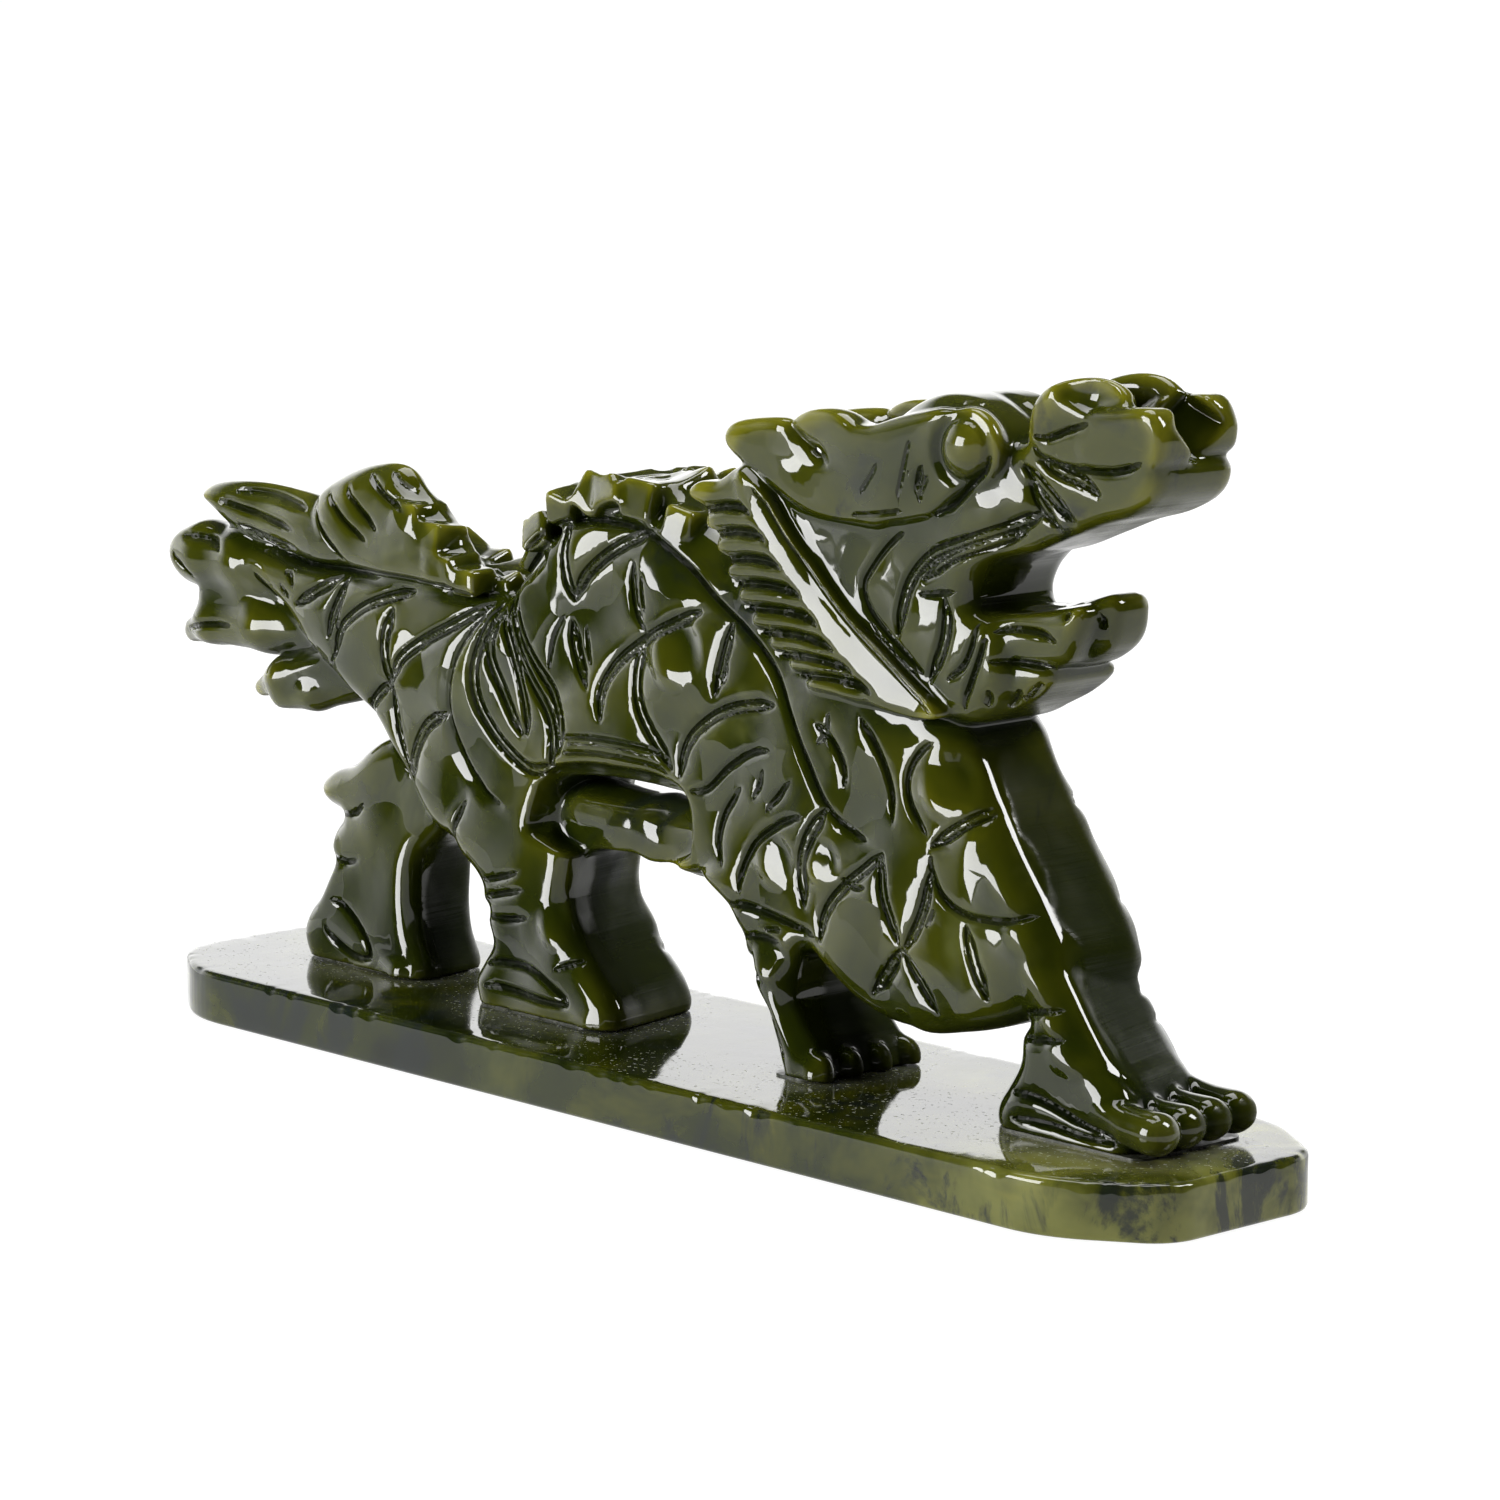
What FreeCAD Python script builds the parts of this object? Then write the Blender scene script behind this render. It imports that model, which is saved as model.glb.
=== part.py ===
import FreeCAD, Part

import math
import os

# A carved jade dragon standing on a flat jade slab, in millimetres.
# Frame: origin at the centre of the slab's underside, +X towards the dragon's head,
# +Z up, and -Y towards the flank that faces the viewer when the head points to the right.
# The dragon is one stone, cut from a plank and carved from both faces, so most of it
# is outlines in X-Z given a thickness about the plane y = CENTRE_Y.

# Driving dimensions of the slab
SLAB_LENGTH = 200.0
SLAB_WIDTH = 44.5
SLAB_THICK = 7.5
SLAB_CUT_LENGTH = 14.0      # how far along the side each corner cut reaches
SLAB_CUT_WIDTH = 9.25       # and how far across the end
SLAB_SIDE_RADIUS = 20.0     # rounding where a cut meets the long side
SLAB_FRONT_RADIUS = 5.0     # rounding where a cut meets the end under the head
SLAB_BACK_RADIUS = 12.0     # and where it meets the end under the tail
SLAB_EDGE_EASE = 0.6        # the sharp edges are eased by this much

# Adhesive beds between the feet and the slab
BED_THICK = 0.3
BED_INSET = 1.2             # the bed stops short of the foot's edge

# Driving dimensions of the dragon
CENTRE_Y = 2.5              # middle plane of the plank that the dragon is cut from
BODY_THICK = 23.0
HEAD_THICK = 19.0
SNOUT_THICK = 15.0
JAW_THICK = 15.0
MANE_THICK = 5.0            # each of the two side fringes
TAIL_THICK = 9.0            # the middle tufts under the tail
PLUME_THICK = 6.0           # each of the two long leaves of the tail
CREST_THICK = 9.0           # the shell-shaped crest stands beside the nearer leaf only
LEG_THICK = 22.0
BACK_LEG_THICK = 15.0       # the hindmost leg is cut thinner than the others
SPINE_THICK = 11.0          # the row of blocks along the back
FOOT_BOTTOM = SLAB_THICK + BED_THICK
TOE_RADIUS = 3.1
TOE_COUNT = 4
EYE_RADIUS = 3.7
NOSTRIL_RADIUS = 4.6

# Outlines in X-Z, one point for each turn of the edge
BODY = [
    (-93, 67), (-80, 69.5), (-66, 72), (-50, 71), (-40, 69), (-34.5, 66.2), (-30, 70),
    (-25, 75), (-18, 79.5), (-9, 82), (0, 81.8), (9, 79), (22, 76), (36, 66), (50, 60),
    (54, 56), (58, 50), (63, 42), (69, 34), (73, 27), (68, 21.5), (57, 18.5), (47, 17),
    (38, 18.7), (31, 22.5), (22, 26.5), (12, 29.6), (4, 31.8), (-6, 32.5), (-24, 33),
    (-35, 33), (-44, 30), (-51, 31), (-57, 37), (-64, 44.5), (-72, 49), (-80, 54.5),
    (-87, 60.5),
]
BELLY_HOLE_FACE = [(-22, 38), (-20.5, 47), (-12, 49.3), (0, 48.6), (5, 43.6), (4, 38)]
BELLY_HOLE_MIDDLE = [(-22, 38), (-21, 41), (-12, 42.5), (0, 42.5), (3.5, 41), (3, 38)]
# The legs run on below the foot's sole, where one flat cut levels all four
LEAD_LEG = [
    (50, 40), (62, 42), (69, 34), (74, 27), (79, 22), (85, 18), (90, 14), (92, 9),
    (90, 5), (76, 4), (63, 5), (61.5, 9.5), (64.5, 12.5), (67, 18), (65, 24), (54, 30),
]
TRAIL_LEG = [
    (9, 32), (14, 26), (16.5, 20), (18.5, 14), (19.5, 9.5), (21, 5), (25.5, 4), (30, 5),
    (31.5, 11), (29.5, 15), (28, 20), (31, 26), (28, 34), (16, 38),
]
HIND_LEG = [
    (-46, 34), (-40, 27.5), (-38, 24), (-37, 19.5), (-40, 13.5), (-41.5, 10), (-40, 5),
    (-27, 4), (-14, 5), (-12.5, 9.5), (-16, 15), (-20.5, 20), (-22.5, 26), (-23, 36),
    (-34, 40),
]
HIND_FAR_LEG = [
    (-60, 48), (-70, 42), (-76, 37.5), (-78, 33.5), (-74, 31), (-76, 25), (-76.5, 20.5),
    (-81, 16.5), (-82.5, 12.5), (-81, 5), (-69, 4), (-57, 5), (-56, 10.5), (-58.5, 15),
    (-60, 21), (-58, 30), (-52, 36),
]
SKULL = [
    (19, 86), (27, 88), (37, 91), (46, 95.5), (54, 99.5), (61, 99.5), (67, 97), (70, 91),
    (72, 86), (62, 80), (54, 76), (60, 70), (64, 62), (48, 59), (35, 62), (22, 72),
    (11, 81),
]
SNOUT = [
    (58, 95), (66, 97), (72, 100.5), (80, 101), (85, 100.5), (89, 102), (90, 99.5),
    (88, 96.5), (90, 92.5), (86, 89), (79, 87), (72, 84.5), (62, 83),
]
LOWER_JAW = [
    (50, 73), (60, 72.5), (68, 74.3), (76, 76.6), (79, 76), (78.5, 72), (76, 69),
    (72.5, 67.4), (71.5, 65), (65, 61.6), (57, 59), (48, 62),
]
EAR = [
    (14, 92), (16, 94.6), (24, 95), (31, 96.6), (40, 95.4), (49, 98), (55, 95), (52, 87),
    (42, 82.6), (32, 83.4), (22, 87.4),
]
MANE = [
    (7, 83.6), (11, 86), (19, 87), (28, 80), (38, 70.5), (49, 60.5), (38, 59.6),
    (28, 62), (21, 67), (15, 73), (13, 78),
]
PLUME = [(-98.5, 74.6), (-93, 77.2), (-84, 78.2), (-70, 77), (-62, 70), (-72, 66.5), (-86, 69.5)]
CREST = [
    (-70, 66), (-73, 73), (-69.5, 79.5), (-62, 82.3), (-56, 82.8), (-50, 79), (-43, 74),
    (-37, 68), (-50, 64),
]
# Middle tufts that stand out behind the tail: root, tip and half height
TUFTS = [
    ((-84, 65), (-110, 68), 5.0),
    ((-84, 61), (-112, 63.5), 4.0),
    ((-80, 56), (-110, 53), 3.4),
    ((-72, 50), (-92.5, 45.6), 2.4),
]
# Blocks along the back: centre and size of each
SPINE_BLOCKS = [
    (-46, 72.5, 8.0), (-40, 69.5, 7.0), (-22, 76.5, 7.0), (-12, 82.0, 9.0), (-3, 82.8, 9.0),
    (5, 80.6, 8.0), (11, 76.8, 7.0),
]
EYE = (57.3, 94.0)
NOSTRIL = (74.0, 99.0)


def point(x, y, z):
    return FreeCAD.Vector(x, y, z)


def smooth_face(outline, y):
    """A flat face in the plane y, bounded by a smooth closed curve through the outline."""
    curve = Part.BSplineCurve()
    curve.interpolate([point(x, y, z) for x, z in outline], PeriodicFlag=True)
    return Part.Face(Part.Wire(curve.toShape()))


def plate(outline, thick, middle=CENTRE_Y):
    """A flat carved piece: a smooth outline in X-Z with a thickness along Y."""
    return smooth_face(outline, middle - thick / 2).extrude(point(0, thick, 0))


def rod(start, end, radius):
    """A rod with round ends."""
    axis = end - start
    body = Part.makeCylinder(radius, axis.Length, start, axis)
    return body.multiFuse([Part.makeSphere(radius, start), Part.makeSphere(radius, end)])


def flame(root, tip, half_height, thick, middle=CENTRE_Y):
    """A tuft of the tail: a leaf that swells from its root and runs out to a tip."""
    along = point(tip[0] - root[0], 0, tip[1] - root[1])
    length = along.Length
    leaf = Part.makeSphere(1.0)
    scale = FreeCAD.Matrix()
    scale.scale(length * 0.62, thick / 2, half_height)
    leaf = leaf.transformGeometry(scale)
    leaf.rotate(point(0, 0, 0), point(0, 1, 0), -math.degrees(math.atan2(along.z, along.x)))
    leaf.translate(point((root[0] + tip[0]) / 2, middle, (root[1] + tip[1]) / 2))
    return leaf


def slab():
    """The base: a long plate with cut and rounded corners and eased edges."""
    half_x, half_y = SLAB_LENGTH / 2, SLAB_WIDTH / 2
    corners = []
    for sx, sy, turned in ((1, 1, False), (-1, 1, True), (-1, -1, False), (1, -1, True)):
        pair = [
            point(sx * half_x, sy * (half_y - SLAB_CUT_WIDTH), 0),
            point(sx * (half_x - SLAB_CUT_LENGTH), sy * half_y, 0),
        ]
        corners += reversed(pair) if turned else pair
    outline = Part.makePolygon(corners + corners[:1])
    solid = Part.Face(outline).extrude(point(0, 0, SLAB_THICK))
    for corner in corners:
        if abs(corner.x) < half_x:
            radius = SLAB_SIDE_RADIUS
        else:
            radius = SLAB_FRONT_RADIUS if corner.x > 0 else SLAB_BACK_RADIUS
        middle = corner + point(0, 0, SLAB_THICK / 2)
        uprights = [e for e in solid.Edges if e.CenterOfMass.distanceToPoint(middle) < 0.01]
        solid = solid.makeFillet(radius, uprights)
    rims = [e for e in solid.Edges if e.BoundBox.ZLength < 0.01]
    return solid.makeFillet(SLAB_EDGE_EASE, rims)


def belly_hole():
    """The slit under the arched belly, waisted because it was cut from both sides."""
    reach = BODY_THICK / 2 + 1

    def section(outline, y):
        ring = [point(x, y, z) for x, z in outline]
        return Part.makePolygon(ring + ring[:1])

    waist = section(BELLY_HOLE_MIDDLE, CENTRE_Y)
    near = section(BELLY_HOLE_FACE, CENTRE_Y - reach)
    far = section(BELLY_HOLE_FACE, CENTRE_Y + reach)
    return [Part.makeLoft([near, waist], True, True), Part.makeLoft([waist, far], True, True)]


def toes(front_x, spread, length, lift):
    """A row of toes side by side across the front of a foot."""
    pitch = (spread - 2 * TOE_RADIUS) / (TOE_COUNT - 1)
    first = CENTRE_Y - spread / 2 + TOE_RADIUS
    row = []
    for i in range(TOE_COUNT):
        tip = point(front_x, first + i * pitch, FOOT_BOTTOM + TOE_RADIUS)
        root = point(front_x - length, first + i * pitch, FOOT_BOTTOM + TOE_RADIUS + lift)
        row.append(rod(root, tip, TOE_RADIUS))
    return row


def head():
    """The skull with its open jaws, eyes, nostrils, ears and side fringes."""
    half = HEAD_THICK / 2
    pieces = [
        plate(SKULL, HEAD_THICK),
        plate(SNOUT, SNOUT_THICK),
        plate(LOWER_JAW, JAW_THICK),
    ]
    for side in (-1, 1):
        outer = CENTRE_Y + side * half
        pieces += [
            plate(EAR, MANE_THICK, middle=outer - side * 1.0),
            plate(MANE, MANE_THICK, middle=outer - side * 0.5),
            Part.makeSphere(EYE_RADIUS, point(EYE[0], outer - side * 1.6, EYE[1])),
            Part.makeSphere(NOSTRIL_RADIUS, point(NOSTRIL[0], CENTRE_Y + side * 4.6, NOSTRIL[1])),
        ]
    return pieces


def tail():
    """The two long leaves, the shell-shaped crest and the middle tufts of the tail."""
    pieces = [plate(CREST, CREST_THICK, middle=CENTRE_Y - 6)]
    for side in (-1, 1):
        middle = CENTRE_Y + side * (BODY_THICK / 2 - PLUME_THICK / 2 - 1)
        pieces.append(plate(PLUME, PLUME_THICK, middle=middle))
    pieces += [flame(root, tip, size, TAIL_THICK) for root, tip, size in TUFTS]
    return pieces


def spine():
    """The rough-cut blocks that stand along the ridge of the back."""
    blocks = []
    for x, z, size in SPINE_BLOCKS:
        block = Part.makeBox(size, SPINE_THICK, size, point(-size / 2, -SPINE_THICK / 2, -size / 2))
        block = block.makeChamfer(size * 0.22, block.Edges)
        block.rotate(point(0, 0, 0), point(0, 1, 0), 38)
        block.translate(point(x, CENTRE_Y, z))
        blocks.append(block)
    return blocks


def legs():
    """The four legs in a row, each almost as thick as the body, and their toes."""
    return [
        plate(LEAD_LEG, LEG_THICK),
        plate(TRAIL_LEG, LEG_THICK),
        plate(HIND_LEG, LEG_THICK),
        plate(HIND_FAR_LEG, BACK_LEG_THICK),
        *toes(90.0, LEG_THICK, 8.0, 3.0),
        *toes(29.5, LEG_THICK, 4.0, 1.0),
        *toes(-14.5, LEG_THICK, 6.0, 2.0),
        *toes(-57.5, BACK_LEG_THICK + 1, 6.0, 2.0),
    ]


def dragon():
    """The whole carving as one stone, flat under the feet."""
    body = plate(BODY, BODY_THICK)
    for cutter in belly_hole():
        body = body.cut(cutter)
    stone = body.multiFuse(head() + tail() + spine() + legs())
    below = Part.makeBox(400, 200, FOOT_BOTTOM, point(-200, -100, 0))
    return stone.cut(below).removeSplitter()


def bed(x_low, x_high, y_low, y_high):
    """A thin bed of adhesive under one foot."""
    size_x = x_high - x_low - 2 * BED_INSET
    size_y = y_high - y_low - 2 * BED_INSET
    corner = point(x_low + BED_INSET, y_low + BED_INSET, SLAB_THICK)
    solid = Part.makeBox(size_x, size_y, BED_THICK, corner)
    uprights = [e for e in solid.Edges if e.BoundBox.ZLength > BED_THICK - 0.01]
    return solid.makeFillet(2.0, uprights)


def save(shape, name):
    shape.exportStep(os.path.join("parts", name + ".step"))


os.makedirs("parts", exist_ok=True)
wide_low, wide_high = CENTRE_Y - LEG_THICK / 2, CENTRE_Y + LEG_THICK / 2
thin_low, thin_high = CENTRE_Y - BACK_LEG_THICK / 2, CENTRE_Y + BACK_LEG_THICK / 2

save(slab(), "base_slab")
save(dragon(), "dragon")
save(bed(62.5, 90.0, wide_low, wide_high), "adhesive_front_lead_foot")
save(bed(20.5, 30.0, wide_low, wide_high), "adhesive_front_trail_foot")
save(bed(-40.5, -14.0, wide_low, wide_high), "adhesive_hind_lead_foot")
save(bed(-81.0, -57.5, thin_low, thin_high), "adhesive_hind_trail_foot")
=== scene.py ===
"""A carved jade dragon on a jade slab, sculpted as a signed-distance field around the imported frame."""
import math

import bpy
import numpy as np
import openvdb
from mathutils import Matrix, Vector


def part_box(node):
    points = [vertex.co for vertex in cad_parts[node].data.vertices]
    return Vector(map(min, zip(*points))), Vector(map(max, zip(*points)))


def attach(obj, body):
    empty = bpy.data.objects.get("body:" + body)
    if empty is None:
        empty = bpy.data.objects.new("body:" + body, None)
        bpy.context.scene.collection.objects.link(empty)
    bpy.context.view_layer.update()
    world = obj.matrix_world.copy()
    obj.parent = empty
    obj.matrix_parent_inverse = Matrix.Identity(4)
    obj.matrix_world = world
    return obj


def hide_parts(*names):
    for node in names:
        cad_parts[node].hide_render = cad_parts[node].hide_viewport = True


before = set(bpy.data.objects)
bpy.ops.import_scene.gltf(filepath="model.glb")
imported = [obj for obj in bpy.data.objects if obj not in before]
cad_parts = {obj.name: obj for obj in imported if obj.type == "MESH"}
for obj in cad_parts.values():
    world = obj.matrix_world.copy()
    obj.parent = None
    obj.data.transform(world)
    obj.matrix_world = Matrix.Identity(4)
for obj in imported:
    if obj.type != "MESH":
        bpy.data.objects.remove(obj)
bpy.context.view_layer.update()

# ---------------------------------------------------------------- the drawing's own measure
# The sculpt is drawn in millimetres on a slab 200 mm long, then scaled to the slab in the frame.
DRAWN_LENGTH = 200.0
slab_low, slab_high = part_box("base_slab")
UNIT = (slab_high.x - slab_low.x) / DRAWN_LENGTH
ORIGIN = Vector(((slab_low.x + slab_high.x) / 2, (slab_low.y + slab_high.y) / 2, slab_low.z))
SOLE = (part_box("dragon")[0].z - ORIGIN.z) / UNIT
SLAB_TOP = (slab_high.z - ORIGIN.z) / UNIT

MIDDLE = 2.5            # the plank's middle plane along Y
FLANK = 11.0            # from the middle plane to the carved flank
NEAR = MIDDLE - FLANK   # the flank that the camera sees
STEP = 0.33
MOST_FACES = 190000     # of the carving's mesh
FAR_AWAY = 3.0          # distances are held up to this far from the surface
TWIN_GAP = 0.56         # from the middle of a twin line to each of its two grooves


# ---------------------------------------------------------------- curves in the X-Z plane
def smooth_curve(points, closed, spacing=0.7):
    """A curve through the points (Catmull-Rom), as a polyline with about this spacing."""
    p = np.array(points, float)
    if len(p) == 2:
        p = np.array([p[0], (p[0] + p[1]) / 2, p[1]])
    count = len(p)
    line = []
    for i in range(count if closed else count - 1):
        if closed:
            a, b, c, d = (p[(i + k) % count] for k in (-1, 0, 1, 2))
        else:
            a, b, c, d = (p[min(max(i + k, 0), count - 1)] for k in (-1, 0, 1, 2))
        steps = max(2, int(np.linalg.norm(c - b) / spacing))
        for t in np.arange(steps) / steps:
            bend = (2 * a - 5 * b + 4 * c - d) * t**2 + (3 * b - a - 3 * c + d) * t**3
            line.append((2 * b + (c - a) * t + bend) / 2)
    line.append(line[0] if closed else p[-1])
    return np.array(line)


def distance_to(line, xs, zs):
    """For each grid point: its distance from the polyline, how far along the line its nearest point
    is, and which side of the line it lies on (1 to the left of the line's travel, -1 to the right)."""
    gx, gz = np.meshgrid(xs, zs, indexing="ij")
    best = np.full(gx.shape, 1e9)
    along = np.zeros(gx.shape)
    side = np.ones(gx.shape)
    walked = 0.0
    for (ax, az), (bx, bz) in zip(line[:-1], line[1:]):
        dx, dz = bx - ax, bz - az
        length = math.hypot(dx, dz)
        if length < 1e-9:
            continue
        t = np.clip(((gx - ax) * dx + (gz - az) * dz) / length**2, 0, 1)
        d = (gx - ax - t * dx) ** 2 + (gz - az - t * dz) ** 2
        closer = d < best
        best = np.where(closer, d, best)
        along = np.where(closer, walked + t * length, along)
        side = np.where(closer, np.sign(dx * (gz - az) - dz * (gx - ax)), side)
        walked += length
    return np.sqrt(best), along, side, walked


def inside(line, xs, zs):
    """Which grid points lie inside the closed polyline."""
    gx, gz = np.meshgrid(xs, zs, indexing="ij")
    odd = np.zeros(gx.shape, bool)
    for (ax, az), (bx, bz) in zip(line[:-1], line[1:]):
        if az != bz:
            odd ^= ((az > gz) != (bz > gz)) & (gx < ax + (gz - az) * (bx - ax) / (bz - az))
    return odd


# ---------------------------------------------------------------- the block of stone
def soft_union(a, b, k):
    h = np.maximum(k - np.abs(a - b), 0) / k
    return np.minimum(a, b) - h * h * k / 4


def soft_cut(a, b, k):
    """What is left of a when b is taken away."""
    h = np.maximum(k - np.abs(a + b), 0) / k
    return np.maximum(a, -b) + h * h * k / 4


def rounded_corner(a, b, radius):
    """Where two surfaces meet at an outer edge of this radius."""
    a, b = a + radius, b + radius
    return np.minimum(np.maximum(a, b), 0) + np.hypot(np.maximum(a, 0), np.maximum(b, 0)) - radius


class Stone:
    """Signed distances in mm on a grid: negative inside the stone."""

    def __init__(self, low, high, step):
        self.step = step
        self.axes = [np.arange(lo, hi + step, step) for lo, hi in zip(low, high)]
        self.field = np.full([len(a) for a in self.axes], FAR_AWAY, np.float32)
        self.grooves = np.zeros((len(self.axes[0]), len(self.axes[2])), np.float32)
        self.relief = np.zeros_like(self.grooves)
        # how far each spot is from the twin lines and from the single lines, to sharpen them in the shading
        self.twins, self.near_line, self.line_side = (np.full_like(self.grooves, 2.0) for _ in range(3))

    def span(self, axis, low, high):
        return slice(*(int(np.searchsorted(self.axes[axis], end)) for end in (low, high)))

    def around(self, points, closed, margin):
        """A curve through the points, and the window of the X-Z grid that holds it with this margin."""
        line = smooth_curve(points, closed)
        (x0, z0), (x1, z1) = line.min(0) - margin, line.max(0) + margin
        return line, (self.span(0, x0, x1), self.span(2, z0, z1))

    def measure(self, line, window):
        """Distances to a line over a window of the X-Z grid."""
        return distance_to(line, self.axes[0][window[0]], self.axes[2][window[1]])

    def room(self, low, high, origin):
        """The window of the grid between two corners, and its coordinates measured from the origin."""
        window = tuple(self.span(i, low[i], high[i]) for i in range(3))
        axes = [self.axes[i][window[i]] - origin[i] for i in range(3)]
        return window, np.meshgrid(*axes, indexing="ij", sparse=True)

    def work(self, window, shape, blend, cut):
        """Adds a shape to the stone, or takes it away, with a blended seam."""
        self.field[window] = (soft_cut if cut else soft_union)(self.field[window], shape, blend)

    def plate(self, points, half, middle=MIDDLE, edge=3.0, dome=0.8, reach=5.0, slope=0.0,
              blend=0.8, cut=False):
        """A carved plate: an outline in X-Z with a half thickness, rounded edges and domed faces.
        slope leans it, in mm along X for each mm along Y away from the near face."""
        line, (sx, sz) = self.around(points, True, FAR_AWAY)
        xs, zs = self.axes[0][sx], self.axes[2][sz]
        away = distance_to(line, xs, zs)[0]
        flat = np.where(inside(line, xs, zs), -away, away)
        sink = dome * np.exp(np.minimum(flat, 0) / reach)
        sy = self.span(1, middle - half - FAR_AWAY, middle + half + FAR_AWAY)
        for iy in range(sy.start, sy.stop):
            y = self.axes[1][iy]
            shape = flat
            if slope:
                moved = np.interp(xs + slope * (y - (middle - half)), xs, np.arange(len(xs)))
                low = np.floor(moved).astype(int)
                high = np.minimum(low + 1, len(xs) - 1)
                part = (moved - low)[:, None]
                shape = flat[low] * (1 - part) + flat[high] * part
            across = abs(y - middle) - half + sink
            self.work((sx, iy, sz), rounded_corner(shape, across, min(edge, half)), blend, cut)

    def tube(self, points, radii, flat=1.0, blend=0.8, cut=False):
        """A rod of changing radius through the points; flat squashes it along Y."""
        points = np.array(points, float)
        for a, b, ra, rb in zip(points[:-1], points[1:], radii[:-1], radii[1:]):
            reach = max(ra, rb) + FAR_AWAY
            window, (px, py, pz) = self.room(np.minimum(a, b) - reach, np.maximum(a, b) + reach, a)
            dx, dy, dz = b[0] - a[0], (b[1] - a[1]) / flat, b[2] - a[2]
            py = py / flat
            t = np.clip((px * dx + py * dy + pz * dz) / (dx * dx + dy * dy + dz * dz + 1e-9), 0, 1)
            d = np.sqrt((px - t * dx) ** 2 + (py - t * dy) ** 2 + (pz - t * dz) ** 2)
            self.work(window, (d - ra - t * (rb - ra)) * min(flat, 1.0), blend, cut)

    def block(self, centre, size, turn, tilt, blend=0.3, cut=False):
        """A flat-sided block, turned about Y and tilted about X (degrees)."""
        reach = max(size) + 1.5
        window, (x, y, z) = self.room(np.array(centre) - reach, np.array(centre) + reach, centre)
        c, s = math.cos(math.radians(turn)), math.sin(math.radians(turn))
        u, w = c * x + s * z, c * z - s * x
        c, s = math.cos(math.radians(tilt)), math.sin(math.radians(tilt))
        v, w = c * y + s * w, c * w - s * y
        sides = np.maximum(np.maximum(np.abs(u) - size[0], np.abs(v) - size[1]), np.abs(w) - size[2])
        self.work(window, sides, blend, cut)

    def groove(self, points, depth=0.8, width=0.5, twin=False, pillow=0.0, slope=0.0, reach=2.5):
        """A line ground into both flanks, as a V of this depth and half width. A twin line is a pair
        that meets at both ends; pillow sinks the surface gently towards the line on both sides;
        slope does it on one side only (left of the travel if positive) over the reach."""
        margin = 3.0 + (4.0 if pillow else 0.0) + (3 * reach if slope else 0.0)
        line, here = self.around(points, False, margin)
        away, along, side, length = self.measure(line, here)
        ends = np.clip(np.minimum(along, length - along) / min(2.4 if twin else 4.0, length / 2), 0, 1)
        if twin:
            spread = away + TWIN_GAP * (1 - ends)
            cut = depth * np.clip(1 - np.abs(spread - TWIN_GAP) / width, 0, 1)
            self.twins[here] = np.minimum(self.twins[here], spread)
        else:
            cut = depth * np.clip(ends - away / width, 0, 1)
            closer = away < self.near_line[here]
            self.line_side[here] = np.where(closer, side * away, self.line_side[here])
            self.near_line[here] = np.where(closer, away + 1.5 * (1 - ends) ** 2, self.near_line[here])
        self.grooves[here] = np.maximum(self.grooves[here], cut)
        if pillow:
            self.relief[here] = np.maximum(self.relief[here], pillow * ends * np.exp(-away / 1.6))
        if slope:
            ramp = abs(slope) * ends * np.clip(1 - away / reach, 0, 1) * (side * slope > 0)
            self.relief[here] = np.maximum(self.relief[here], ramp)

    def bevel(self, points, slope, reach):
        """Leans the flank away over the reach on the right of a line's travel, and on beyond the line."""
        line, here = self.around(points, False, reach)
        away, along, side, length = self.measure(line, here)
        ends = np.clip(np.minimum(along, length - along) / 3.0, 0, 1)
        self.relief[here] += slope * ends * np.clip(reach + side * away, 0, 2 * reach)

    def facet(self, x, z, radius, along, up):
        """Leans a round spot of both flanks: it sinks by these slopes towards the head and upwards."""
        sx, sz = self.span(0, x - radius, x + radius), self.span(2, z - radius, z + radius)
        gx, gz = self.axes[0][sx][:, None] - x, self.axes[2][sz][None, :] - z
        share = np.clip(1.6 - 1.6 * np.hypot(gx, gz) / radius, 0, 1)
        self.relief[sx, sz] += (along * gx + up * gz) * share ** 2 * (3 - 2 * share)

    def undulate(self, rng, depth, length):
        """The gentle unevenness of a hand-ground flank, as a sum of long ripples."""
        gx, gz = np.meshgrid(self.axes[0], self.axes[2], indexing="ij")
        for _ in range(14):
            turn, phase = rng.uniform(0, math.pi), rng.uniform(0, 2 * math.pi)
            wave = 2 * math.pi / (length * rng.uniform(0.6, 1.6))
            swell = np.sin((gx * math.cos(turn) + gz * math.sin(turn)) * wave + phase)
            self.relief += (depth / 4) * swell.astype(np.float32)

    def engrave(self):
        """Sinks the grooves into both flanks, fading out where the surface turns away from them."""
        slopes = np.gradient(self.field, self.step)
        steep = np.sqrt(slopes[0] ** 2 + slopes[1] ** 2 + slopes[2] ** 2) + 1e-6
        facing = np.clip((np.abs(slopes[1]) / steep - 0.3) / 0.4, 0, 1)
        self.field += (self.grooves + self.relief)[:, None, :] * facing

    def smooth(self, passes):
        """Softens every edge a little, as polishing does."""
        for axis in (0, 1, 2) * passes:
            f = np.moveaxis(self.field, axis, 0)
            f[1:-1] = (f[:-2] + 2 * f[1:-1] + f[2:]) / 4

    def sample(self, field, points):
        """Values of a field between grid points."""
        index = [(points[:, i] - self.axes[i][0]) / self.step for i in range(3)]
        base = [np.clip(np.floor(v).astype(int), 0, n - 2) for v, n in zip(index, field.shape)]
        part = [np.clip(v - b, 0, 1) for v, b in zip(index, base)]
        total = np.zeros(len(points))
        for corner in range(8):
            bits = [(corner >> i) & 1 for i in range(3)]
            weight = np.ones(len(points))
            for i in range(3):
                weight *= part[i] if bits[i] else 1 - part[i]
            total += weight * field[tuple(base[i] + bits[i] for i in range(3))]
        return total

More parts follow.
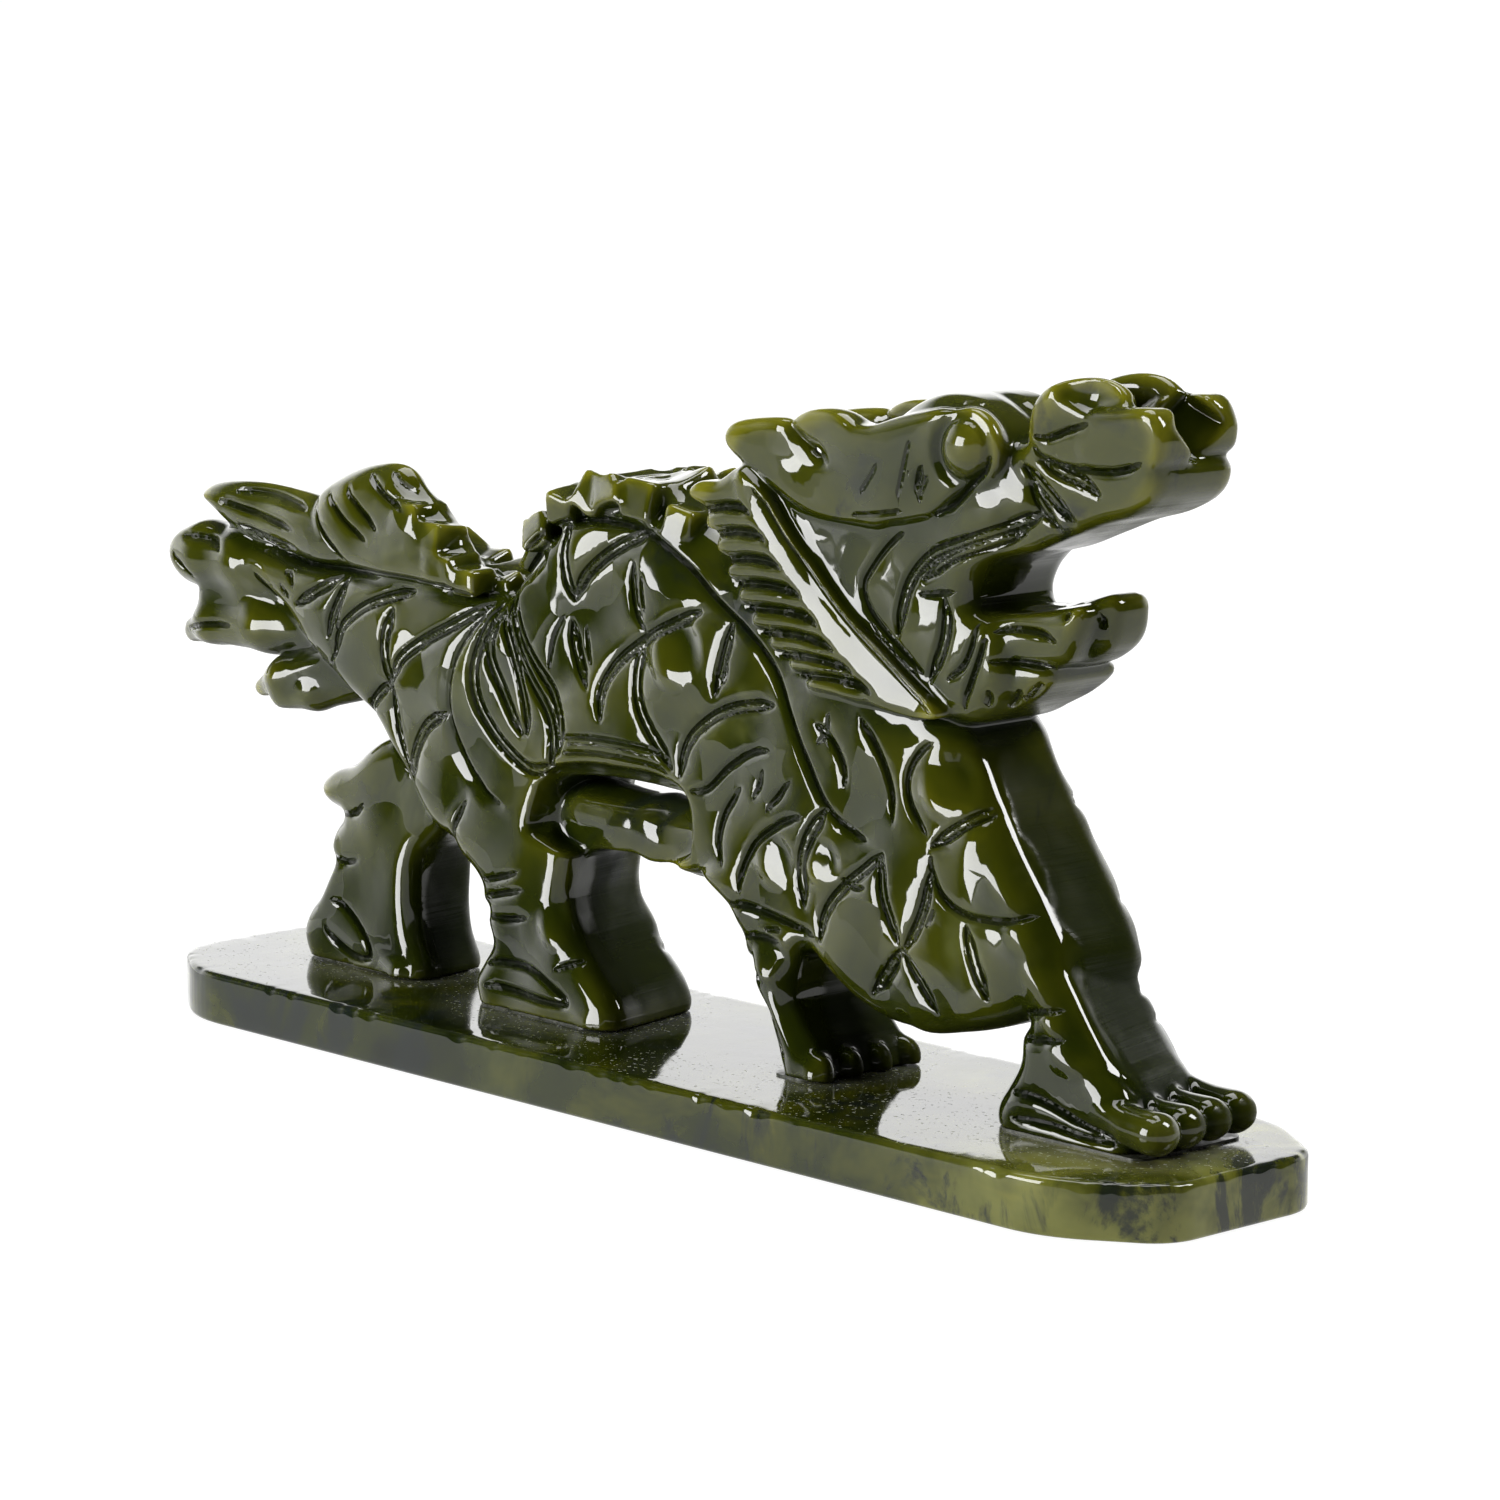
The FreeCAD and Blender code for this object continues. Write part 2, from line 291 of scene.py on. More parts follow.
    def bulk(self, reach):
        """How much of the neighbourhood is stone: low on thin edges, high down in the hollows."""
        full = (self.field < 0).astype(np.float32)
        cells = max(1, int(reach / self.step))
        for axis in (0, 1, 2) * 2:
            f = np.moveaxis(full, axis, 0)
            run = np.cumsum(np.concatenate([np.zeros_like(f[:1]), f]), axis=0)
            count = len(f)
            low = np.clip(np.arange(count) - cells, 0, count)
            high = np.clip(np.arange(count) + cells + 1, 0, count)
            full = np.moveaxis((run[high] - run[low]) / (2 * cells + 1), 0, axis)
        return full

    def normals(self, points):
        """The surface's normals, from the slope of the field."""
        slope = np.zeros((len(points), 3))
        for axis, offset in enumerate(np.eye(3) * self.step):
            ahead = self.sample(self.field, points + offset)
            slope[:, axis] = ahead - self.sample(self.field, points - offset)
        return slope / (np.linalg.norm(slope, axis=1, keepdims=True) + 1e-9)

    def mesh(self, name, most_faces):
        """The surface as a mesh object with at most about this many triangles."""
        grid = openvdb.FloatGrid(background=FAR_AWAY)
        grid.copyFromArray(np.ascontiguousarray(self.field))
        points, triangles, quads = grid.convertToPolygons(isovalue=0.0, adaptivity=0.0)
        points = points * self.step + np.array([a[0] for a in self.axes])
        faces = np.vstack([quads[:, [0, 1, 2]], quads[:, [0, 2, 3]], triangles]).astype(int)
        rough = bpy.data.meshes.new(name)
        rough.from_pydata(points.tolist(), [], faces.tolist())
        carrier = bpy.data.objects.new(name + ".rough", rough)
        bpy.context.scene.collection.objects.link(carrier)
        thin = carrier.modifiers.new("thin", "DECIMATE")
        thin.ratio = min(1.0, most_faces / len(faces))
        view = bpy.context.evaluated_depsgraph_get()
        data = bpy.data.meshes.new_from_object(carrier.evaluated_get(view))
        bpy.data.objects.remove(carrier)
        bpy.data.meshes.remove(rough)
        data.name = name
        spots = np.empty(len(data.vertices) * 3)
        data.vertices.foreach_get("co", spots)
        spots = spots.reshape(-1, 3)
        values = {"bulk": self.sample(self.bulk(2.2), spots)}
        on_flank = spots * (1, 0, 1) + (0, self.axes[1][0], 0)
        for label in ("twins", "near_line", "line_side"):
            values[label] = self.sample(getattr(self, label)[:, None, :].repeat(2, axis=1), on_flank)
        for label, value in values.items():
            held = data.attributes.new(label, "FLOAT", "POINT")
            held.data.foreach_set("value", value.astype(np.float32))
        data.vertices.foreach_set("co", (spots * UNIT + np.array(ORIGIN)).ravel())
        data.polygons.foreach_set("use_smooth", np.ones(len(data.polygons), bool))
        data.normals_split_custom_set_from_vertices(self.normals(spots).tolist())
        data.update()
        return bpy.data.objects.new(name, data)


# ---------------------------------------------------------------- outlines of the dragon's masses
BAR = [(-36, 34.6), (-22, 35.4), (-8, 35.6), (4, 35.8), (12, 35.4)]
TRUNK = [
    (-93.5, 67.3), (-80, 67.6), (-66, 67.8), (-50, 67.4), (-40, 66.6), (-34.5, 66), (-31, 69.3),
    (-26.5, 74), (-21, 78), (-14, 80.2), (-6, 81), (2, 80.2), (9, 78), (22, 75), (36, 67), (46, 61),
    (51, 56), (54, 50), (57, 43.5), (60, 36), (61, 28), (60, 22.5), (55, 19.5), (49, 17.4), (42, 17.2),
    (37, 18.8), (31, 22.3), (23, 26), (14, 28.8), (9, 31.4), (2, 31.4), (-6, 32.4), (-24, 33.2),
    (-35, 33), (-45, 29.5), (-50, 30.5), (-55, 35), (-60, 40), (-64, 44.5), (-70, 48), (-75, 51),
    (-80, 54), (-85.5, 58.5), (-90.5, 62.5),
]
CHEST = [
    (36, 62), (48, 61.5), (55, 57.4), (59.4, 50.6), (63.6, 44), (68.6, 37), (72.6, 30), (71, 24.5),
    (64, 20.6), (55, 18), (46, 17.2), (40, 24), (36, 40),
]
SLIT_MOUTH = [
    (-27, 33), (-27, 38.4), (-23.5, 43), (-17, 44.8), (-8, 45.4), (0, 45.1), (5.4, 42.8), (6, 37),
    (3, 33), (-12, 32),
]
SLIT_WAIST = [
    (-25, 33), (-25, 39), (-22.5, 41.6), (-14, 42.6), (-4, 42.4), (2, 41.4), (3.4, 37), (1, 33),
    (-12, 30),
]
HIND_LEG = [
    (-47, 34), (-44.5, 29), (-40, 25.8), (-38.6, 24), (-38.8, 22.4), (-37.4, 21.4), (-37.8, 19.5),
    (-37, 16.5), (-38.6, 13.6), (-40.2, 11), (-39.8, 8), (-38, 5), (-27, 4), (-13, 5), (-10, 8.4),
    (-11.5, 12.2), (-15.4, 16.2), (-18.8, 20.2), (-20.7, 25), (-20, 30), (-20, 40), (-36, 42),
]
HIND_FAR_LEG = [
    (-54, 44), (-64, 42), (-71, 37.6), (-76.6, 35.6), (-79.2, 33.4), (-78, 31), (-74.3, 29.6),
    (-76.2, 27), (-77, 24.3), (-76, 22.6), (-77.4, 20), (-79.6, 17), (-82.6, 14), (-83.6, 10.6),
    (-81, 6), (-77, 4.5), (-66, 4), (-57, 5), (-55, 9), (-57, 14), (-57.5, 20), (-56, 26), (-48, 34),
]
TRAIL_LEG = [
    (7, 33.5), (11.7, 29), (13.6, 26), (14.6, 25), (15.2, 22.7), (17, 21.6), (16.8, 19.7), (19.1, 16),
    (21, 11.7), (22.5, 8.5), (24, 4.5), (27, 4), (30, 5.5), (29.8, 9.4), (28.2, 12.2), (25.8, 14.8),
    (24.2, 18), (25.6, 23.4), (30, 30), (20, 38),
]
LEAD_LEG = [
    (48, 36), (58, 46), (64.5, 41), (70.5, 34), (75.5, 27), (78.6, 22.6), (82, 18.6), (85.6, 15.2),
    (87.4, 11.5), (87, 6), (84, 4), (74, 4), (65, 5), (62.4, 8), (62.6, 10.7), (65, 14), (66.8, 17),
    (66.9, 19.6), (68.2, 21.4), (66.8, 23), (58, 27),
]
NECK = [
    (14, 80), (18, 86.5), (27, 88), (40, 90), (52, 92), (62, 89), (64, 83.5), (60.6, 80.4),
    (57.5, 77.2), (57, 73.5), (62, 71), (63.5, 64), (58, 59), (48, 58.2), (36, 60), (25, 65), (17, 72),
]
SKULL = [
    (27, 86), (34, 91.5), (41, 96), (46, 99), (51, 100.2), (57, 99.4), (61.5, 96.2), (64, 92), (68, 88),
    (66, 84), (58, 80), (45, 80), (34, 82),
]
SNOUT = [
    (58, 94), (63.5, 94.8), (68, 96.5), (74, 97.2), (80, 96.5), (84.5, 95.2), (87.6, 93.8),
    (87.8, 91.4), (86, 89), (82, 87), (77, 85.6), (71, 83.3), (64, 80.8), (56, 80), (54, 88),
]
JAW = [
    (50, 74), (57, 73), (62, 73.2), (67, 73.9), (71.6, 74.8), (74.6, 75.2), (75, 72.6), (73.4, 69.6),
    (71, 67.4), (64, 66), (56, 66), (49, 68),
]
JAW_TIP = [
    (60, 73), (67, 74.2), (72, 75.6), (75.6, 76.6), (77.2, 75.4), (77, 72), (75.2, 69.2), (71, 67.4),
    (62, 67),
]
BEARD = [
    (50, 68), (58, 69.5), (65, 68.6), (68.6, 67), (69.4, 65.4), (66.6, 63), (62.4, 60.8), (57, 58.6),
    (52, 58.4), (47, 61),
]
CURL = [
    (65.6, 95), (65.8, 97.6), (66.8, 100.2), (69.2, 102.6), (72.6, 103.6), (76.6, 103.8), (79.8, 102.9),
    (81.6, 101), (81.8, 98.4), (78, 95.4), (70, 94),
]
LOBE = [
    (74, 95), (76.6, 98), (79.2, 99.8), (82, 100.6), (84.8, 100.9), (87, 100.6), (88.4, 98.6),
    (88.8, 96.2), (87, 93.4), (78, 92),
]
EAR_BACK = [
    (13.2, 91.4), (14, 93.7), (17.4, 94.8), (24.6, 95.3), (27, 93.2), (31.3, 90.6), (40, 90), (48, 88),
    (43.5, 83), (38, 82.4), (32, 82.9), (26, 84.7), (20.3, 87.1), (15.3, 89.4),
]
EAR_FRONT = [
    (25.3, 94.7), (28, 96.5), (32.5, 97.2), (35.5, 96.8), (38.2, 95.7), (41, 95.8), (44.5, 96.9),
    (49, 98), (54, 98.6), (58.5, 96), (61, 92), (58, 89.2), (54.8, 86.6), (51.4, 84.6), (46, 83.3),
    (40, 83), (35, 85), (31.5, 90.8), (28, 92.7),
]
SPINE = [
    (-33, 71), (-33.1, 73), (-30.4, 77), (-26.7, 78), (-24.6, 79.6), (-22.6, 82.6), (-16.8, 85.2),
    (-11.9, 85.4), (-9, 84.9), (-3.5, 85.8), (0.4, 84), (3.5, 81.2), (7, 78), (10, 74), (-10, 72),
]
COLLAR = [
    (17.3, 88.4), (21.4, 86.4), (26.8, 80.9), (32.4, 75.4), (39, 70), (45.4, 65.8), (54.4, 59.6),
    (44.2, 59.4), (40.5, 61.2), (35, 65.2), (28.5, 72), (22.9, 78.4), (19.6, 81.4), (16.6, 85.4),
]
PLUME = [
    (-105, 73.8), (-103.4, 75.8), (-98.6, 76.9), (-90.6, 77.4), (-82.4, 77), (-74, 76), (-64, 73),
    (-60, 68), (-70, 65.5), (-82.5, 66.2), (-89.3, 67.4), (-96, 69.2), (-101, 71.2),
]
CREST = [
    (-68, 65), (-72, 67), (-75.2, 69), (-77, 72), (-76.8, 75.4), (-75, 78.2), (-70.6, 80.4),
    (-65.4, 82), (-59.6, 82.8), (-56, 82), (-53.4, 79.6), (-50, 77), (-46, 73.5), (-43, 69.5),
    (-42, 65.5), (-50, 63),
]
EYE = (57.4, 93.8)
# the mane's fringe: locks with hollows between their ends, up the front edge and over the top
LOCK_ENDS = [
    (10.4, 82.2), (12.6, 79.2), (15, 76), (17.2, 73), (19.6, 70), (22.4, 67), (25.8, 64.4),
    (29.8, 62.2),
]
LOCK_ROOTS = [
    (19.4, 82.8), (22.6, 79.6), (25.6, 76.2), (28.8, 72.8), (32.2, 69.4), (35.4, 66.4), (38.6, 63.8),
    (42, 61.6),
]
FRINGE = [
    (34.6, 60.4), (38.6, 59.8), (46, 59.4), (50.5, 59), (43.5, 65), (37, 70.5), (30, 78), (22, 85.5),
    (17.5, 88.6), (12.5, 86.3), (8.5, 85.8), (6.8, 83.8),
]
for (x0, z0), (x1, z1) in zip(LOCK_ENDS, LOCK_ENDS[1:] + [(33.6, 60.8)]):
    FRINGE += [(x0, z0), ((x0 + x1) / 2 - 1.7, (z0 + z1) / 2 - 0.7)]
TUFTS = [
    ([(-84, 1, 63), (-96, -2, 65), (-104.6, -3, 65.2), (-107.4, -3, 64.8)], [5.5, 4.8, 4.8, 4.5]),
    ([(-84, 2, 61), (-95, -1, 60.4), (-103.4, -2.6, 59)], [4, 4, 3]),
    ([(-78, 2, 57), (-92, -1, 56), (-103.4, -3, 55), (-109.3, -3, 53.2)], [5, 4.6, 3.2, 1.9]),
    ([(-84, 5, 57), (-98, 6.5, 60.4), (-112.8, 6.5, 62)], [4, 3.6, 2.5]),
    ([(-76, 1, 52), (-87, -3, 48.6), (-92.6, -3, 46.3)], [4, 2.8, 1.4]),
    ([(-72, 2, 50), (-81, -2, 46.8), (-87, -3, 45.7)], [3.4, 2.6, 2.0]),
    ([(-80, 6, 55), (-90, 7, 51), (-96, 7, 49.6)], [3.6, 2.6, 1.2]),
]

# ---------------------------------------------------------------- lines ground into the flanks
# Twin lines between the scales, each a pair of fine grooves with a ridge left between them
TWIN_LINES = [
    # rump
    [(-79.5, 60.4), (-75, 62.6), (-70, 65.2)],
    [(-70.2, 54), (-68.5, 58), (-65, 60.8), (-60, 62.9), (-53, 64.9)],
    [(-71.6, 56.4), (-70.4, 60.5), (-68.3, 65)],
    [(-57.3, 51.5), (-55.2, 55), (-50, 58.2), (-44, 61), (-37, 64.6)],
    [(-57, 62), (-58.7, 58), (-58.8, 54), (-57.4, 50.5)],
    [(-65, 45.3), (-62.5, 48), (-60, 50), (-57.2, 51.2)],
    [(-57, 50.5), (-56.6, 46), (-55.6, 41.5), (-54.2, 37.5)],
    [(-44, 48.6), (-49, 46.2), (-52.5, 42), (-54, 37.5)],
    # arched body
    [(-19.4, 78.3), (-19.8, 74), (-18.6, 70.3), (-16.8, 67.4)],
    [(-16.8, 67.4), (-15, 70.6), (-11.5, 73.6), (-7, 76.2), (-2.2, 78)],
    [(-17.3, 64.5), (-16.8, 61), (-15.5, 58), (-14, 55.6)],
    [(-11.2, 51.5), (-11, 55.5), (-8, 59.8), (-3, 63), (3, 66), (8.8, 68.4)],
    [(-5.2, 73.5), (-5.1, 70), (-4.2, 67), (-2.6, 64.8)],
    [(-2.4, 63.5), (-4, 59.5), (-3.8, 55), (-1.6, 51), (2.6, 46.4)],
    [(4.2, 45.5), (6, 50), (9.6, 53.2), (15, 56), (22.6, 57.4)],
    [(14.8, 67.3), (13.2, 62.6), (11.8, 57.6)],
    # shoulder and chest
    [(33, 44.8), (29.6, 40.5), (27.8, 36), (28, 31.2)],
    [(31, 27), (32.3, 31), (36, 34.8), (40, 37.6), (43.8, 40.4)],
    [(43.6, 40.2), (44.2, 35), (46.6, 29)], [(47.6, 28.4), (49.8, 31.4), (51.4, 35), (52.2, 39)],
    [(46.8, 28.2), (43.6, 24.6), (40.6, 21.3)], [(47, 28.2), (50, 24.6), (52.6, 20.6)],
    [(58.6, 33), (60, 29), (62.6, 24)], [(64.8, 52), (67.4, 47.6), (69.6, 41)],
    [(52.6, 42.6), (57, 45.4), (62.4, 48.6)],
]
# Single deep lines: the tail's dividing line, folds and leaves, the feet, the head and the plumes
DEEP_LINES = [
    [(-90.8, 64.8), (-86.5, 60.6), (-81, 56.8), (-75.5, 52.6), (-70, 49.4), (-64.6, 46), (-60, 41.4),
     (-55, 36.2)], [(5.2, 43.8), (9.6, 44.4), (14, 48), (18.8, 50.6), (23.6, 51.4)],
    [(21.6, 49.6), (20.4, 46.4), (18.8, 43.6)], [(27.6, 48.6), (24.4, 45.6), (21.2, 42.2)],
    [(30, 43.6), (25.4, 42.2), (19.4, 38.6), (16.4, 34), (16, 30)],
    [(11.7, 29), (17, 29.6), (24.4, 28.6), (31, 27)],
    [(13.4, 33.4), (11.8, 37), (13.4, 41.8), (17.6, 46.6)],
    [(53, 42.6), (52.4, 39.6), (54.4, 36.4), (58.4, 34.5), (64.6, 34.4), (70, 35.8)],
    [(52.6, 43.2), (49, 46.8), (47.8, 50.4), (49.4, 54), (53, 56.4)],
    [(38.6, 58.6), (42.4, 54), (44.8, 49), (45.4, 43.6)],
    [(30, 56.5), (34.6, 53.6), (36.6, 50), (36, 47)], [(-44.8, 29), (-43.4, 33), (-40, 37.4)],
    [(-38.4, 25.6), (-34.5, 26.2), (-28, 28.2)], [(-38.2, 23), (-34.5, 23.8), (-27.4, 25.6)],
    [(-37.6, 20.6), (-32.4, 20.6), (-26.4, 21.8)],
    [(-38.4, 13.3), (-33.5, 14.2), (-27, 14.1), (-22.2, 12.4), (-19.3, 10.7), (-23, 10.1),
     (-33.6, 10.6), (-38.6, 10.3)], [(-22.8, 14.6), (-18.4, 16.2), (-15.2, 17.4)],
    [(66.8, 22.6), (70.2, 23.6), (76, 24.6)], [(67.2, 19.8), (72, 20.3), (77, 21)],
    [(65.4, 12.6), (69.3, 12.9), (73.2, 12.4), (78.7, 10.8), (84, 9.4), (79, 9.1), (73.2, 9.6),
     (66, 9.4)], [(14.8, 25), (19.5, 25.8), (24.4, 25.4)], [(16.6, 20.2), (21, 20.6)],
    [(17.4, 19), (20.4, 15.6), (22.8, 11.4), (25.4, 9.8)],
    [(-76.6, 17), (-72.4, 16.4), (-67.6, 12.4), (-66.6, 9.6), (-70.4, 9.2), (-75.4, 11.2),
     (-77.8, 13.8)], [(-76.4, 23.6), (-72, 23), (-68, 24)], [(-74.6, 30), (-70, 30.4), (-66, 33)],
    # head: eye socket, cheek, mouth
    [(51.5, 92.1), (50.1, 89.9), (49.6, 86.8)],
    [(62, 94.4), (60.6, 91.6), (57.8, 89.3), (54.8, 86.5), (51, 84.4)],
    [(47.6, 74.6), (51, 74.8), (56, 75.6)], [(53.2, 63.6), (56.8, 66.2), (58.4, 69.8), (58.8, 73)],
    [(60.2, 72.4), (60.2, 69.8), (59, 66.2), (57.2, 62.2), (56.7, 59.4)],
    [(60, 70.6), (63.6, 71.4), (68, 71.4), (72.4, 70.2)], [(60, 67.2), (66, 67.2), (71, 66.8)],
    [(66.2, 95.6), (68.4, 93.6), (71.9, 92.7), (77, 92.5), (82, 92.9), (87, 94.6)],
    [(66, 96.4), (69.4, 96), (73.4, 97.4), (77.6, 98.6)], [(72.5, 74.6), (72.9, 73.2)],
    [(74.6, 75), (76, 71.8)], [(71.6, 65), (67, 61.6)], [(68.8, 65.8), (64, 61.2)],
    [(65.4, 64.4), (61.4, 60.6)], [(61.4, 64), (59.8, 60.8)],
    # plumes and crest
    [(-99, 74.2), (-91.7, 73.2), (-85, 72), (-78.6, 71)],
    [(-96, 75.6), (-88, 75.8), (-80, 74.8), (-75.8, 74)], [(-95, 71), (-87, 69.4), (-78.5, 68.3)],
    [(-67, 79.8), (-65.6, 77.4), (-62, 74.6), (-58.5, 72.4)],
    [(-71.4, 78.4), (-69.3, 75.9), (-65.7, 73.1), (-61, 70.8)],
    [(-63.7, 81.6), (-61, 79.4), (-57, 77.4), (-52.5, 76)], [(-59.4, 82.2), (-56, 79.6), (-51.6, 77.6)],
    [(-73.6, 77.2), (-73.4, 73.6), (-70.4, 69.6), (-67, 67.4)],
    # the tufts
    [(-109.4, 66.4), (-107, 63.8), (-103, 61.4)], [(-109, 53.4), (-102, 55), (-95, 55.4)],
    [(-108, 68), (-101, 68), (-96, 66)],
]
# Hair of the hip tuft, from the saddle notch down
HIP_HAIR = [
    [(-35, 64.6), (-37.4, 60), (-38.6, 55), (-37, 50), (-32.6, 45.6), (-27, 42.6), (-21.8, 43.6)],
    [(-33.8, 63.6), (-35.8, 59.6), (-35, 56), (-31.4, 51), (-28.6, 47.4)],
    [(-33.4, 64.2), (-31.4, 60), (-28.8, 54.6), (-27.4, 50.6), (-27.6, 47.6)],
    [(-32, 65.6), (-30, 60.4), (-26, 55.2), (-22.6, 51.2), (-21.6, 47), (-22.6, 43.8)],
    [(-31, 67), (-28.6, 62), (-24.6, 57.4), (-21.4, 54), (-20, 50), (-20.6, 45.8)],
]
# Short strokes inside the scales
STROKES = [
    [(-83.8, 63.6), (-82.6, 62), (-80.4, 60.9)], [(-83.6, 64.4), (-81.4, 64.6), (-79.8, 62)],
    [(-69.6, 56.6), (-69.4, 60.4), (-68.2, 63.6)], [(-73.6, 51.4), (-71, 53), (-69.6, 55)],
    [(-79.2, 58.6), (-78.6, 55.4), (-75.6, 52.4)], [(-17.8, 66.2), (-20.8, 61.8), (-22, 56)],
    [(-14.6, 65.4), (-14.4, 61.4), (-12.6, 57.6)], [(-3.2, 73.2), (-3.2, 69.6), (-1.8, 66.2)],
    [(14.2, 62.4), (13.2, 58.6)], [(24.6, 27.4), (20, 27)], [(33.8, 59), (33, 55), (30.4, 52.6)],
    [(53.6, 35), (51.4, 31.4)], [(34.4, 36.4), (38.4, 35.2), (42, 36)],
]
# Shallow scratches on the ears, and along the belly over the slit
FINE_LINES = [
    [(43.9, 92), (41.7, 89), (38.9, 85.9)], [(49, 95.8), (48.3, 92.4), (46.3, 85.6)],
    [(36.5, 83.8), (41.7, 84.3), (48.3, 85.4)], [(52.4, 91), (50.6, 88), (50, 85.6)],
]
for z in (45.8, 48.0):
    FINE_LINES.append([(-20.6, z), (-12, z + 0.9), (-2, z + 0.7), (3.4 - (z - 45) * 0.6, z - 0.6)])
# Lines with the stone sloping down to them on one side: the line, the drop and how far it reaches
SLOPED_LINES = [
    # root of the tail, along the top of the rump
    ([(-91.7, 70), (-86, 67.8), (-79, 66.5), (-69.6, 66.4), (-62, 66.7), (-53, 66.6), (-44, 66),
      (-36, 65.4)], -0.6, 2),
    # round the thigh and along the bar under the belly
    ([(-35.6, 65), (-39.6, 61), (-42.6, 56), (-43, 49), (-40.6, 42.6), (-36.4, 38.2), (-32, 36.6)],
     -0.8, 2.4),
    # over the arched back and down the neck to the chest
    ([(-33.5, 66.6), (-29.4, 71.6), (-24.6, 75.8), (-18.5, 78), (-10.5, 78.6), (-2.5, 77.6),
      (4.5, 74.3), (12.1, 69.9), (18.4, 66.2), (22.6, 62.2), (26, 56.4), (29.6, 50.6), (34.4, 44.2),
      (41.6, 41.2)], -0.45, 1.3),
    # the collar that the mane springs from
    ([(19.6, 86.8), (26.2, 80.6), (31.7, 75.1), (38.3, 69.7), (44.7, 65.5), (50, 62), (54.4, 59.2)],
     -1.25, 3.6),
    # the jaw's edge in front of the collar
    ([(47, 82.8), (43.4, 80.6), (40.4, 77.4), (38.8, 74.4), (41, 70.6), (46, 67), (51, 63.8)], -0.3, 1.6),
]
# Spots of the flanks that lean: middle, radius, and how they sink towards the head and upwards
FACETS = [
    # turned up and to the front
    (4, 62.5, 6, 0.2, 0.26), (23, 36.5, 4.5, 0.2, 0.26), (32, 37.5, 4, 0.2, 0.26),
    (54.5, 50.5, 5, 0.2, 0.26), (-21.5, 21.5, 4.5, 0.2, 0.26), (21.5, 23, 4, 0.2, 0.26),
    (67, 41, 6, 0.14, 0.2), (70, 35.5, 6, 0.14, 0.2), (72.6, 30, 5.5, 0.14, 0.2), (75, 25, 5, 0.14, 0.2),
    (77, 20.5, 5, 0.14, 0.2),
    # turned down
    (-1, 54, 7, 0.0, -0.05), (-21, 59, 7, 0.0, -0.05), (53, 24, 7, 0.0, -0.06), (13, 50, 6, 0.0, -0.05),
]
# The leaning edge down the front of the chest and the leading leg
LEADING_EDGE = [(66, 47), (70, 40.5), (74, 33.5), (77, 27.5), (79, 22.5), (80.5, 18.5)]
# Twin lines of the cheek and below the nostril
CHEEK_LINES = [
    [(68.6, 86.6), (63.5, 84.3), (56.5, 81.8), (50.6, 79.6), (47.2, 76.4), (45.8, 72.6), (45.2, 69)],
    [(65.4, 83.8), (60, 81.8), (53.6, 79.4), (49.4, 76.6)],
    [(53, 74.4), (53.6, 71.6), (53, 68), (51, 64)], [(65.1, 92.2), (68.9, 89.6), (73.6, 86)],
    [(66.2, 90.1), (68.3, 87.6), (71, 85)], [(67.9, 93.2), (72.4, 91.8), (75.8, 91), (78.2, 89.6)],
]


def carve_lines(stone):
    """Everything ground into the flanks."""
    for i, line in enumerate(TWIN_LINES):
        stone.groove(line, 0.7, 0.44, twin=True, pillow=0.2, slope=0.5 if i % 3 else -0.5)
    for line in DEEP_LINES:
        stone.groove(line, 0.9, 0.6, pillow=0.3)
    for line, slope, reach in SLOPED_LINES:
        stone.groove(line, 0.9, 0.6, slope=slope, reach=reach)
    for line in HIP_HAIR:
        stone.groove(line, 0.9, 0.6, twin=True)
    for line in STROKES:
        stone.groove(line, 0.7, 0.5)
    for line in FINE_LINES:
        stone.groove(line, 0.3, 0.4)
    for line in CHEEK_LINES:
        stone.groove(line, 0.8, 0.55, twin=True, pillow=0.2)
    for (x0, z0), (x1, z1) in zip(LOCK_ENDS, LOCK_ROOTS):
        bow = (x0 + (x1 - x0) * 0.5, z0 + (z1 - z0) * 0.5 + 0.5)
        lock = [(x0 - 3, z0 - 0.4), (x0, z0), bow, (x1, z1), (x1 + 1.5, z1 - 1.2)]
        stone.groove(lock, 1.3, 0.9, slope=0.55, reach=1.7)
    for facet in FACETS:
        stone.facet(*facet)
    stone.bevel(LEADING_EDGE, 0.1, 5.0)


